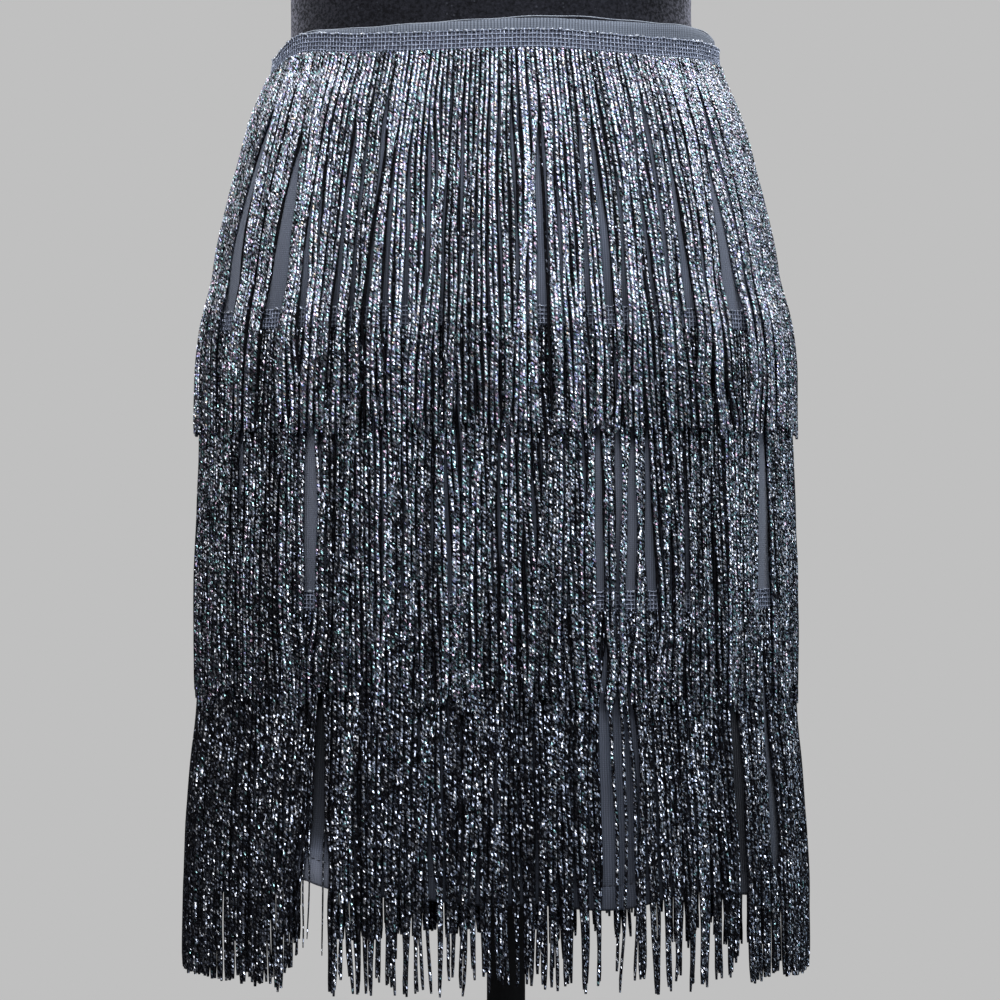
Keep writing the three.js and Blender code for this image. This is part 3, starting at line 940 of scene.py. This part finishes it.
def makeRibbon(number, top, around):
    angle = np.linspace(0, 360, tapes["ribbonColumns"] + 1)[None, :]
    z = top(angle) - tapes["height"] * np.linspace(0, 1, tapes["ribbonRows"])[:, None]
    points = clothPoint(angle, z, tapes["ribbonOut"] + tapes["ribbonThickness"])
    u = np.broadcast_to(np.linspace(0, around, angle.size), z.shape)
    mesh = gridMesh(f"tapeRibbon{number}", points, np.stack([u, top(angle) - z], -1), around=True)
    ribbon = thicken(addObject(f"tapeRibbon{number}", mesh), tapes["ribbonThickness"])
    return hand(ribbon, finish["ribbon"], [f"fringe_tape_{number}"])


def joined(name, parts, strips=False):  # one piece of several, with or without their strips for the bake
    work = bmesh.new()
    for part in parts:
        work.from_mesh(part.data)
    result = bpy.data.meshes.new(name)
    work.to_mesh(result)
    work.free()
    if not strips:
        result.uv_layers.remove(result.uv_layers["OFBake"])
    result.materials.append(parts[0].data.materials[0])
    for part in parts:
        bpy.data.objects.remove(part)
    return addObject(name, result)


def makeNet(number, top, around):
    rng = np.random.default_rng(40 + number)
    count, rows = round(around / tapes["netPitch"]), tapes["netRows"]
    angle = evenAngles(topLevel(top), (np.arange(count) + 0.5) * around / count)[:, None]
    first, last = tapes["netEdges"]
    chance = tapes["netWobble"]
    wobble = rng.normal(0, chance["spread"], (count, rows))
    z = top(angle) - np.linspace(first, tapes["height"] - last, rows)[None, :] + wobble * chance["down"]
    out = tapes["netOut"] + rng.normal(0, chance["out"], (count, rows))
    points = clothPoint(angle + wobble * chance["across"], z, out)
    values = {
        "Cord radius": tapes["threadRadius"] * mm, "Sides": tapes["threadSides"], "Finish": finish["net"],
        "Strips across": 32.0, "Strips down": 16.0, "Cord length": tapes["height"] * mm}
    upright = grown("upright", runsMesh("upright", points, 1.0, rng.random(count)), hangingCords, values)
    rings = runsMesh("level", points.transpose(1, 0, 2), 1.0, rng.random(rows), closed=True)
    values.update({"Strips down": 6.0, "Strips across": 1.0, "Cord length": around * mm})
    level = grown("level", rings, hangingCords, values)
    knots = beaded("knots", points, outwardAt(angle + 0 * z, z), tapes["knot"], {
        "Seed": 3 + number, "Finish": finish["net"]})
    return hand(joined(f"tapeNet{number}", [upright, level, knots]), None)


def makePicots(number, top, around):  # small uneven loops along the tape's upper edge
    rng = np.random.default_rng(60 + number)
    count = round(around / tapes["picotPitch"])
    spread = tapes["picotSpread"]
    places = (np.arange(count) + rng.uniform(-spread, spread, count)) * around / count
    level = tapes["picotsAt"][number - 1]
    angle = evenAngles(level, places * roundLength(level) / around)
    z = top(angle) - tapes["picotDrop"] + rng.uniform(*tapes["picotRise"], count)
    points = clothPoint(angle, z, tapes["picotOut"])
    piece = beaded(f"tapePicots{number}", points, outwardAt(angle, z), tapes["picot"], {
        "Unevenness": 0.5, "Seed": 11 + number, "Finish": finish["picot"]})
    return hand(piece, None)


ribbons, trimmings = [], []
for number, top in enumerate(tapes["tops"], 1):
    around = roundLength(topLevel(top) - tapes["height"] / 2)
    ribbons.append(makeRibbon(number, top, around))
    trimmings.append([makeNet(number, top, around), makePicots(number, top, around)])
print("tapes made")


# Fringe cords

fringe = {
    "cordRadius": 1.24,
    "behindRadius": 0.95,
    "sides": 6,
    "behindSides": 4,
    "steps": 31,
    "behindStride": 2,  # the row behind keeps every second point
    "stripsDown": 4,
    "stripLength": 225,
    "spacing": 0.14,  # chance in a cord's place, in pitches
    "behindSpacing": 0.2,
    "layer": 0.12,
    "behindLayer": -0.75,
    "layerChance": (-0.12, 0.42),
    "clearance": 0.2,
    "thickness": {"chance": 0.06, "wave": 0.05, "length": 6.0, "tip": 0.3},
    "ownRagged": 0.35,  # each cord's own share of the raggedness, beside its lock's
    "raggedMost": 3.6,
    "longest": 3,
    "evenness": 0.8,
    "evenEdge": 0.4,
    "pulled": {"late": (0.5, 1.0), "early": (0.1, 1.0)},  # how far each lock goes together
    "wedge": 95.0,  # how far down a parting has opened
    "wedgeEdge": 0.65,
    "wedgeEnd": 25,
    "wedgeReach": (4, 1.3),  # how far its neighbours give way: plain, and for each mm of its width
    "widerFrom": 515,  # where a parting with a wide foot starts to widen
    "widerOver": 45,
    "settled": {"drift": 0.35, "wiggle": 0.15, "clump": 0.17, "layer": 0.12},  # shares of a cord's length
    "from": {"curl": 0.88, "flare": 0.86, "thinner": 0.6, "tip": 0.99},  # where each begins, the same way
    "curlWaves": 40,
    "bend": {"amount": 0.8, "pace": 2.3},
    "bob": {"amount": 0.3, "length": 16.0},
    "wiggles": table("amount length", (0.28, 9.5), (0.3, 21.0)),
    "drift": table(  # sideways sway that gathers cords in some places and opens others
        "reach amount fall",
        (9.0, 0.36, 120.0), (14.0, 0.5, 190.0), (23.0, 0.8, 270.0), (41.0, 1.1, 390.0),
    ),
    # each tier's shine, and its row behind's, is painted light: it cuts the share of glinting facets, so
    # lower tiers and the row behind carry painted shade
    "tiers": [
        {
            "name": "fringeTier1", "node": "fringe_tier_1", "seed": 71, "followWaist": 1,
            "start": 947.5, "end": 728, "cords": 292, "raggedness": 3.2, "clump": 0.42,
            "gather": 0.15, "gatherFrom": 0.72,
            "lockSize": (4.5, 10.5), "curl": 0.15, "shorter": 6, "thinner": 0.0,
            "flare": 0.6, "paintedLight": 1.0, "behindPaintedLight": 0.06, "even": [], "strays": [],
            "lift": table("z lift", (945, 0.4), (930, 1.0), (812, 1.4), (802, 3.4), (728, 3.7)),
            "partings": table(
                "at width top bottom",
                (153.5, 13.0, 925, 725), (138, 13.5, 905, 725), (131, 3.6, 890, 780),
                (122.5, 4.4, 905, 725), (114.5, 3.2, 890, 790), (111.3, 2.4, 900, 790),
                (107.5, 3.0, 900, 790), (104.2, 3.4, 900, 790), (81, 5.6, 915, 725), (71.5, 2.6, 905, 780),
                (68.8, 5.0, 905, 725), (65.1, 3.6, 900, 790), (50.0, 5.5, 905, 780), (37.5, 9.5, 895, 760),
                (196, 6.0, 900, 725), (224, 4.5, 905, 725), (241, 3.0, 890, 780), (258, 7.0, 900, 725),
                (283, 3.6, 895, 760), (296, 5.0, 905, 725), (327, 6.5, 890, 725), (346, 3.4, 900, 780),
            ),
        },
        {
            "name": "fringeTier2", "node": "fringe_tier_2", "seed": 72, "followWaist": 0,
            "start": 788.5, "end": 571, "cords": 366, "raggedness": 5.0, "clump": 0.28,
            "gather": 0.15, "gatherFrom": 0.72,
            "lockSize": (4.5, 13.0), "curl": 0.15, "shorter": 6, "thinner": 0.0,
            "flare": 0.0, "paintedLight": 0.84, "behindPaintedLight": 0.09, "even": [], "strays": [],
            "lift": table("z lift", (786, 0.4), (728, 0.6), (690, 1.9), (641, 3.2), (570, 2.3)),
            "partings": table(
                "at width top bottom",
                (147, 3.2, 780, 690), (127, 7.5, 780, 620), (111.6, 2.6, 740, 620), (107.3, 3.4, 700, 620),
                (70.2, 6.0, 780, 600), (67.0, 3.4, 780, 620), (64.4, 7.0, 740, 620), (60.2, 5.6, 740, 620),
                (56.5, 2.6, 720, 630), (52.6, 2.8, 720, 630), (28.4, 14.0, 775, 550), (203, 5.0, 770, 600),
                (231, 3.4, 740, 620), (249, 6.0, 770, 610), (272, 3.0, 750, 620), (288, 4.5, 770, 600),
                (309, 6.5, 760, 620), (338, 4.0, 770, 620),
            ),
        },
        {
            "name": "fringeTier3", "node": "fringe_tier_3", "seed": 73, "followWaist": 0,
            "start": 627, "end": 411, "cords": 368, "raggedness": 7.5, "clump": 0.2,
            "gather": 0.5, "gatherFrom": 0.6,
            "lockSize": (3.4, 11.5), "curl": 0.12, "shorter": 60, "thinner": 0.22,
            "flare": 0.0, "paintedLight": 0.66, "behindPaintedLight": 0.3,
            "even": table("at width", (158, 46), (18, 30), (250, 30)),  # where the ends hang evenly
            "strays": table(  # single cords that hang across a parting
                "at end parted width",
                (122.4, 432, 0.7, 0.45), (124.4, 441, 0.5, 0.4), (125.2, 436, 0.7, 0.45),
                (69.0, 424, 0, 0.9), (67.2, 412, 0, 0.8), (40.9, 428, 0.6, 0.7),
            ),
            "lift": table("z lift", (625, 0.4), (570, 0.6), (540, 1.6), (410, 2.0)),
            "partings": table(
                "at width top bottom wider",
                (123.7, 7.5, 600, 380, 11), (68.1, 18.0, 640, 380), (39.8, 8.5, 625, 380),
                (28.4, 9.0, 610, 490), (90, 1.2, 560, 420), (101, 1.4, 560, 430), (141, 3.4, 560, 420),
                (160, 2.8, 560, 430), (209, 6.5, 600, 380), (232, 6.0, 590, 380, 14), (255, 3.0, 570, 450),
                (280, 7.0, 600, 380), (301, 3.4, 580, 430), (322, 5.5, 600, 380), (349, 3.6, 590, 430),
            ),
        },
    ],
}


def towardsEnd(t, start):  # 0 down to a share of the cord's length, then up to 1 at its end
    return ease((t - start) / (1 - start))


def gatherPlaces(rng, places, around, lockSize, openings):  # each cord's lock and the lock's middle
    ends = [0.0]
    while ends[-1] < around:
        ends.append(ends[-1] + rng.uniform(*lockSize))
    ends = np.array(sorted([*ends[:-1], *openings, around]))
    lock = np.clip(np.searchsorted(ends, places % around, side="right") - 1, 0, len(ends) - 2)
    return lock, (ends[lock] + ends[lock + 1]) / 2, len(ends) - 1


def placesOf(entries, tier):  # how far round the cloth the entries of a table lie
    return np.interp([entry["at"] for entry in entries], *angleTable(tier["start"]))


def sideways(tier, rng, places, free, parted, z, t, around):
    # how far each cord has moved along the cloth, in mm
    shift = np.zeros_like(z)
    settle = ease(t / fringe["settled"]["drift"])
    for wave in fringe["drift"]:
        phase, lean = rng.uniform(0, 2 * math.pi, 2)
        reach = around / round(around / wave["reach"])
        turn = 2 * math.pi * (places[:, None] / reach + z / wave["fall"])
        bend = fringe["bend"]["amount"] * np.sin(z / wave["fall"] * fringe["bend"]["pace"] + lean)
        shift += wave["amount"] * np.sin(turn + phase + bend) * settle
    phases = rng.uniform(0, 2 * math.pi, (2, len(places), 1))
    waves = zip(fringe["wiggles"], phases)
    wiggle = sum(wave["amount"] * np.sin(z / wave["length"] + phase) for wave, phase in waves)
    shift += wiggle * ease(t / fringe["settled"]["wiggle"])
    plainReach, widthReach = fringe["wedgeReach"]
    for parting, middle in zip(tier["partings"], placesOf(tier["partings"], tier)):
        away = (places - middle + around / 2) % around - around / 2
        reach = np.exp(-np.abs(away) / (plainReach + widthReach * parting["width"]))
        wider = parting.get("wider", 0) * ease((fringe["widerFrom"] - z) / fringe["widerOver"])
        half = (parted[:, None] * parting["width"] + free[:, None] * wider) / 2
        opened = np.clip((parting["top"] - z) / fringe["wedge"], 0, 1) ** fringe["wedgeEdge"]
        closed = ease((z - parting["bottom"] + fringe["wedgeEnd"]) / fringe["wedgeEnd"])
        shift += (np.sign(away) * reach)[:, None] * half * (opened * closed)
    return shift


def cordPlaces(tier, rng, around):  # the front row's cords come first, then those of the row behind it
    number = np.arange(tier["cords"])
    inFront = number + rng.uniform(-fringe["spacing"], fringe["spacing"], len(number))
    furtherIn = number + 0.5 + rng.uniform(-fringe["behindSpacing"], fringe["behindSpacing"], len(number))
    return np.concatenate([inFront, furtherIn]) * (around / len(number))


def strayTraits(tier, places, behind):  # the strays' numbers, and what differs for them among all cords
    wanted = placesOf(tier["strays"], tier)
    strays = [int(np.argmin(np.abs(places - place) + 99.0 * behind)) for place in wanted]
    free, parted, slim = np.ones((3, len(places)))
    free[strays] = 0
    parted[strays] = [stray["parted"] for stray in tier["strays"]]
    slim[strays] = [stray["width"] for stray in tier["strays"]]
    return strays, free, parted, slim


def cordEnds(tier, rng, lock, locks, behind, loose):
    ragged, shorter = tier["raggedness"], tier["shorter"]
    ofLock = np.abs(rng.normal(0, ragged, locks))[lock]
    more = ofLock + rng.normal(0, ragged * fringe["ownRagged"], len(lock))
    more = more + np.where(behind, rng.uniform(0, shorter, len(lock)), 0)
    return tier["end"] + np.clip(more, -fringe["longest"], fringe["raggedMost"] * ragged + shorter) * loose


def cordPaths(tier):
    rng = np.random.default_rng(tier["seed"])
    around = roundLength(tier["start"])
    places = cordPlaces(tier, rng, around)
    count = len(places)
    behind = np.arange(count) >= tier["cords"]
    openings = placesOf(tier["partings"], tier)
    lock, lockMiddle, locks = gatherPlaces(rng, places, around, tier["lockSize"], openings)
    strays, free, parted, slim = strayTraits(tier, places, behind)
    base = evenAngles(tier["start"], places)
    loose = np.ones(count)  # less where the ends hang evenly
    for part in tier["even"]:
        nearness = hump(turnBetween(base, part["at"]) / part["width"])
        loose -= fringe["evenness"] * nearness ** fringe["evenEdge"]
    end = cordEnds(tier, rng, lock, locks, behind, loose)
    end[strays] = [stray["end"] for stray in tier["strays"]]
    start = tier["start"] + tier["followWaist"] * (waistHeight(base) - body["waistEdge"])
    t = np.linspace(0, 1, fringe["steps"])[None, :]
    z = start[:, None] + (end - start)[:, None] * t

    # along the cloth: drift and partings, then the pull of each lock, then the curl of the ends
    shift = sideways(tier, rng, places, free, parted, z, t, around)
    late = rng.uniform(*fringe["pulled"]["late"], locks)[lock, None] * tier["gather"]
    early = rng.uniform(*fringe["pulled"]["early"], locks)[lock, None] * tier["clump"]
    pulled = early * ease((t - 0.01) / fringe["settled"]["clump"]) + late * towardsEnd(t, tier["gatherFrom"])
    shift += ((lockMiddle - places % around) * free * loose)[:, None] * pulled
    curl = rng.normal(0, 1, (count, 1)) * np.sin(t * fringe["curlWaves"] + rng.uniform(0, 6, (count, 1)))
    shift += curl * tier["curl"] * towardsEnd(t, fringe["from"]["curl"])
    angle = base[:, None] + shift / arcRate(base[:, None] + 0 * z, z)

    # out from the cloth
    layer = np.where(behind, fringe["behindLayer"], fringe["layer"])
    layer = layer + rng.uniform(*fringe["layerChance"], count)
    phase = rng.uniform(0, 2 * math.pi, (count, 1))
    bob = fringe["bob"]["amount"] * np.sin(z / fringe["bob"]["length"] + phase)
    radius = np.where(behind, fringe["behindRadius"], fringe["cordRadius"])[:, None]
    loosened = (layer[:, None] + bob) * ease(t / fringe["settled"]["layer"])
    out = readColumn(tier["lift"], "lift", z) + radius + loosened
    out = np.maximum(out, radius + fringe["clearance"])
    out = out + tier["flare"] * towardsEnd(t, fringe["from"]["flare"])

    # how thick each cord is, beside the front row's usual one
    thick = fringe["thickness"]
    width = rng.normal(1.0, thick["chance"], (count, 1)) * (1 + thick["wave"] * np.sin(z / thick["length"]))
    width = width * radius / fringe["cordRadius"]
    width = width * (1 - tier["thinner"] * loose[:, None] * towardsEnd(t, fringe["from"]["thinner"]))
    width = width * (1 - thick["tip"] * towardsEnd(t, fringe["from"]["tip"])) * slim[:, None]
    return clothPoint(angle, z, out), width, rng.random(count), base


def makeCords(tier):
    points, width, seed, base = cordPaths(tier)
    behind = np.arange(len(base)) >= tier["cords"]
    # the front row takes its tier's painted light, the row behind takes painted shade
    rows = [
        (~behind, 1, fringe["sides"], tier["paintedLight"]),
        (behind, fringe["behindStride"], fringe["behindSides"], tier["behindPaintedLight"]),
    ]
    pieces = []
    for side, half in (("Front", base < 180), ("Back", base >= 180)):
        name = tier["name"] + side
        parts, first = [], 0
        for row, stride, sides, paintedLight in rows:
            chosen = half & row
            runs, widths = points[chosen][:, ::stride], width[chosen][:, ::stride]
            mesh = runsMesh(name, runs, widths, seed[chosen], first=first, paintedLight=paintedLight)
            parts.append(grown(name + "Row", mesh, hangingCords, {
                "Cord radius": fringe["cordRadius"] * mm, "Sides": sides, "Finish": finish["cord"],
                "Strips across": float(math.ceil(half.sum() / fringe["stripsDown"])),
                "Strips down": float(fringe["stripsDown"]), "Cord length": fringe["stripLength"] * mm}))
            first += int(chosen.sum())
        pieces.append(hand(joined(name, parts, strips=True), None, [tier["node"]]))
        print(name, "cords", int(half.sum()), "faces", len(pieces[-1].data.polygons))
    return pieces


tiers = [makeCords(tier) for tier in fringe["tiers"]]


# Hem stitches

hemStitch = {"pitch": 3.1, "size": (2.3, 0.55, 0.5), "out": -0.2}


def makeHemStitches():
    level = body["hem"] + panel["turnUp"]
    around = roundLength(level)
    count = round(around / hemStitch["pitch"])
    angle = evenAngles(level, np.arange(count) * around / count)
    z = hemHeight(angle) + panel["turnUp"]
    points = clothPoint(angle, z, hemStitch["out"] + creaseAt(angle, z))
    piece = beaded("hemStitches", points, outwardAt(angle, z), hemStitch["size"], {
        "Unevenness": 0.12, "Round": 2, "Finish": finish["thread"]})
    return hand(piece, None)


hemStitches = makeHemStitches()
print("cords and stitches made")


# Dress form and its stand

form = {
    "columns": 160,
    "rowStep": 6.0,
    "bottom": 700,
    "bottomRows": 9,
    "bottomRound": 17,
    "bottomTurn": 0.98,  # how much of a quarter turn the rounding has
    "neck": 1480,
    "lean": -3,
    "leanFrom": 930,
    "leanOver": 50,
    "cap": {"columns": 96, "rows": 7, "height": 10, "arcRise": 4.5, "arcReach": 6, "inset": 2},
    "capFoot": table("rise inset", (2.0, 2.0), (0.3, 2.6)),
}


def torsoShift(z):  # the form stands a little to the left of the skirt's waist
    return body["shift"] + form["lean"] * ease((z - form["leanFrom"]) / form["leanOver"])


def torsoRows():
    rows = []
    for gap in body["torsoGaps"]:
        section = zip(("half", "front", "back"), clothSection(float(gap["z"])), ("side", "front", "back"))
        rows.append({"z": gap["z"], **{name: size - body["wall"] - gap[key] for name, size, key in section}})
    return rows + body["torsoAbove"]


def makeFormPart(name, rows, z, inset, columns, material, node):
    # a closed loft of the form's sections, each drawn in by its inset
    angle = np.linspace(0, 360, columns + 1)[None, :]
    section = [readColumn(rows, column, z) - inset[:, None] for column in ("half", "front", "back")]
    points = sectionPoint(*section, angle, z + 0 * angle, 0.0, torsoShift(z))
    mesh = reworked(gridMesh(name, points, around=True), closeEnds)
    return hand(addObject(name, mesh), material, [node])


def makeTorso():
    rows = torsoRows()
    lowest = rows[0]["z"]
    rounding = np.linspace(0, 1, form["bottomRows"])
    inset = form["bottomRound"] * (1 - np.sqrt(1 - (rounding * form["bottomTurn"]) ** 2))
    heights = np.arange(form["neck"], lowest, -form["rowStep"])
    inset = np.concatenate([np.zeros(len(heights)), inset])
    z = np.concatenate([heights, lowest + (form["bottom"] - lowest) * rounding])[:, None]
    return makeFormPart(
        "formTorso", rows, z, inset, form["columns"], finish["velvet"], "form_torso")


def makeNeckCap():
    cap = form["cap"]
    turn = np.linspace(0, math.pi / 2, cap["rows"])
    rise, inset = ([ring[key] for ring in form["capFoot"]] for key in ("rise", "inset"))
    rise = np.concatenate([cap["height"] - cap["arcRise"] * (1 - np.cos(turn)), rise])
    inset = np.concatenate([cap["inset"] + cap["arcReach"] * (1 - np.sin(turn)), inset])
    z = form["neck"] + rise[:, None]
    rows = body["torsoAbove"]
    return makeFormPart(
        "formNeckCap", rows, z, inset, cap["columns"], finish["cap"], "form_neck_cap")


turned = {
    "pole": {"node": "pole", "steps": 48, "profile": [(0, 6.3), (11.5, 6.3), (11.5, 699.7), (0, 699.7)]},
    "formFlange": {"node": "form_flange", "steps": 72, "profile": [
        (11.8, 671.7), (17, 671.7), (18, 672.7), (20, 690.7), (24, 693.4), (41, 695.2), (42, 696.2),
        (42, 699.7), (11.8, 699.7)]},
    "baseHub": {"node": "base_hub", "steps": 72, "profile": [
        (11.8, 6.3), (36, 6.3), (36, 10), (34.5, 11.6), (25, 14.5), (20.5, 19), (18.4, 26), (18, 50.5),
        (16.5, 52.3), (11.8, 52.3)]},
    "basePlate": {"node": "base_plate", "steps": 144, "profile": [
        (0, 0), (199, 0), (200, 1), (200, 3.8), (199.5, 5.1), (198.4, 5.8), (196.6, 6), (60, 6), (0, 6)]},
}


def makeTurned(name, facts):
    profile = np.array(facts["profile"], float)
    if profile[0, 0] > 0:  # a ring, closed on its inner side
        profile = np.concatenate([profile, profile[:1]])
    angle = np.linspace(0, 2 * math.pi, facts["steps"] + 1)[None, :]
    r, z = profile[:, :1], profile[:, 1:]
    points = np.stack(np.broadcast_arrays(r * np.cos(angle), r * np.sin(angle), z), -1)
    mesh = reworked(gridMesh(name, points, around=True), closeOnAxis)
    mesh.set_sharp_from_angle(angle=math.radians(40))
    return hand(addObject(name, mesh), finish["metal"], [facts["node"]])


formTorso = makeTorso()
formNeckCap = makeNeckCap()
stand = [makeTurned(name, facts) for name, facts in turned.items()]
print("form and stand made")


# Floor, light and camera

studio = {  # in metres, apart from the camera's place in mm
    "backdrop": (0.527, 0.527, 0.527, 1),
    "around": (0.005, 0.0055, 0.008, 1),
    "floor": {"radius": 2.3, "fadeFrom": 1.3, "fadeTo": 2.25, "seen": (0.60, 0.66)},
    "floorBounce": (0.06, 0.06, 0.065, 1),
    "lights": table(
        "name at to size power colour",
        ("key", (0.1, -1.0, 1.92), (0, 0, 0.95), (1.7, 0.4), 30.5),
        ("fill", (0.35, -2.6, 1.5), (0, 0, 0.75), (1.2, 0.8), 1.4),
        ("leftPanel", (-1.35, -0.9, 1.8), (0, 0, 0.85), (0.5, 0.9), 3.5),
        ("rightPanel", (1.7, -0.9, 1.25), (0, 0, 0.75), (0.5, 1.0), 4.8, (0.74, 0.90, 1.0)),
        ("backPanel", (0.15, 1.25, 2.0), (0, 0, 0.85), (1.0, 0.4), 34),
        ("leftBackPanel", (-1.2, 0.85, 1.9), (0, 0, 0.85), (0.7, 0.4), 15),
        ("rightBackPanel", (1.2, 0.85, 1.9), (0, 0, 0.85), (0.7, 0.4), 15),
    ),
    "camera": {"at": (-3.6, -1900, 690), "lens": 114},
}


def makeFloor():
    facts = studio["floor"]
    mesh = bpy.data.meshes.new("floor")
    work = bmesh.new()
    bmesh.ops.create_circle(work, cap_ends=True, segments=128, radius=facts["radius"])
    work.to_mesh(mesh)
    work.free()
    material, tree, shader = newMaterial("floorPale")
    place = objectPlace(tree)
    distance = socketOf(tree, "ShaderNodeVectorMath", {0: place}, "Value", operation="LENGTH")
    solid = socketOf(tree, "ShaderNodeMapRange", {
        "Value": distance, "From Min": facts["fadeFrom"], "From Max": facts["fadeTo"],
        "To Min": 1.0, "To Max": 0.0}, interpolation_type="SMOOTHSTEP")
    dull, pale = ((tone, tone, tone, 1) for tone in facts["seen"])
    grained = mixColour(tree, noise(tree, place, 60, 4), dull, pale)
    seen = socketOf(tree, "ShaderNodeLightPath", socket="Is Camera Ray")
    colour = mixColour(tree, seen, studio["floorBounce"], grained)
    feed(tree, shader, {"Base Color": colour, "Roughness": 0.9, "Alpha": solid})
    mesh.materials.append(material)
    addObject("floor", mesh)


def makeWorld():
    world = bpy.data.worlds.new("studio")
    world.use_nodes = True
    tree = world.node_tree
    tree.nodes.clear()
    lit = socketOf(tree, "ShaderNodeBackground", {"Color": studio["around"]})
    seen = socketOf(tree, "ShaderNodeBackground", {"Color": studio["backdrop"]})
    byCamera = socketOf(tree, "ShaderNodeLightPath", socket="Is Camera Ray")
    mix = socketOf(tree, "ShaderNodeMixShader", {0: byCamera, 1: lit, 2: seen})
    addNode(tree, "ShaderNodeOutputWorld", {"Surface": mix})
    bpy.context.scene.world = world


def aimed(thing, at, to):
    thing.location = at
    thing.rotation_euler = (Vector(to) - Vector(at)).to_track_quat("-Z", "Y").to_euler()
    bpy.context.scene.collection.objects.link(thing)


def makeLights():
    for facts in studio["lights"]:
        light = bpy.data.lights.new(facts["name"], "AREA")
        light.shape = "RECTANGLE"
        light.size, light.size_y = facts["size"]
        light.energy = facts["power"]
        light.color = facts.get("colour", (1, 1, 1))
        lamp = bpy.data.objects.new(facts["name"], light)
        lamp.visible_camera = False
        aimed(lamp, facts["at"], facts["to"])


def makeCamera():
    data = bpy.data.cameras.new("camera")
    data.lens = studio["camera"]["lens"]
    data.clip_end = 50
    camera = bpy.data.objects.new("camera", data)
    camera.location = Vector(studio["camera"]["at"]) * mm
    camera.rotation_euler = (math.pi / 2, 0, 0)
    bpy.context.scene.collection.objects.link(camera)
    bpy.context.scene.camera = camera


makeFloor()
makeWorld()
makeLights()
makeCamera()
bpy.context.scene.view_settings.view_transform = "Standard"
print("studio made")
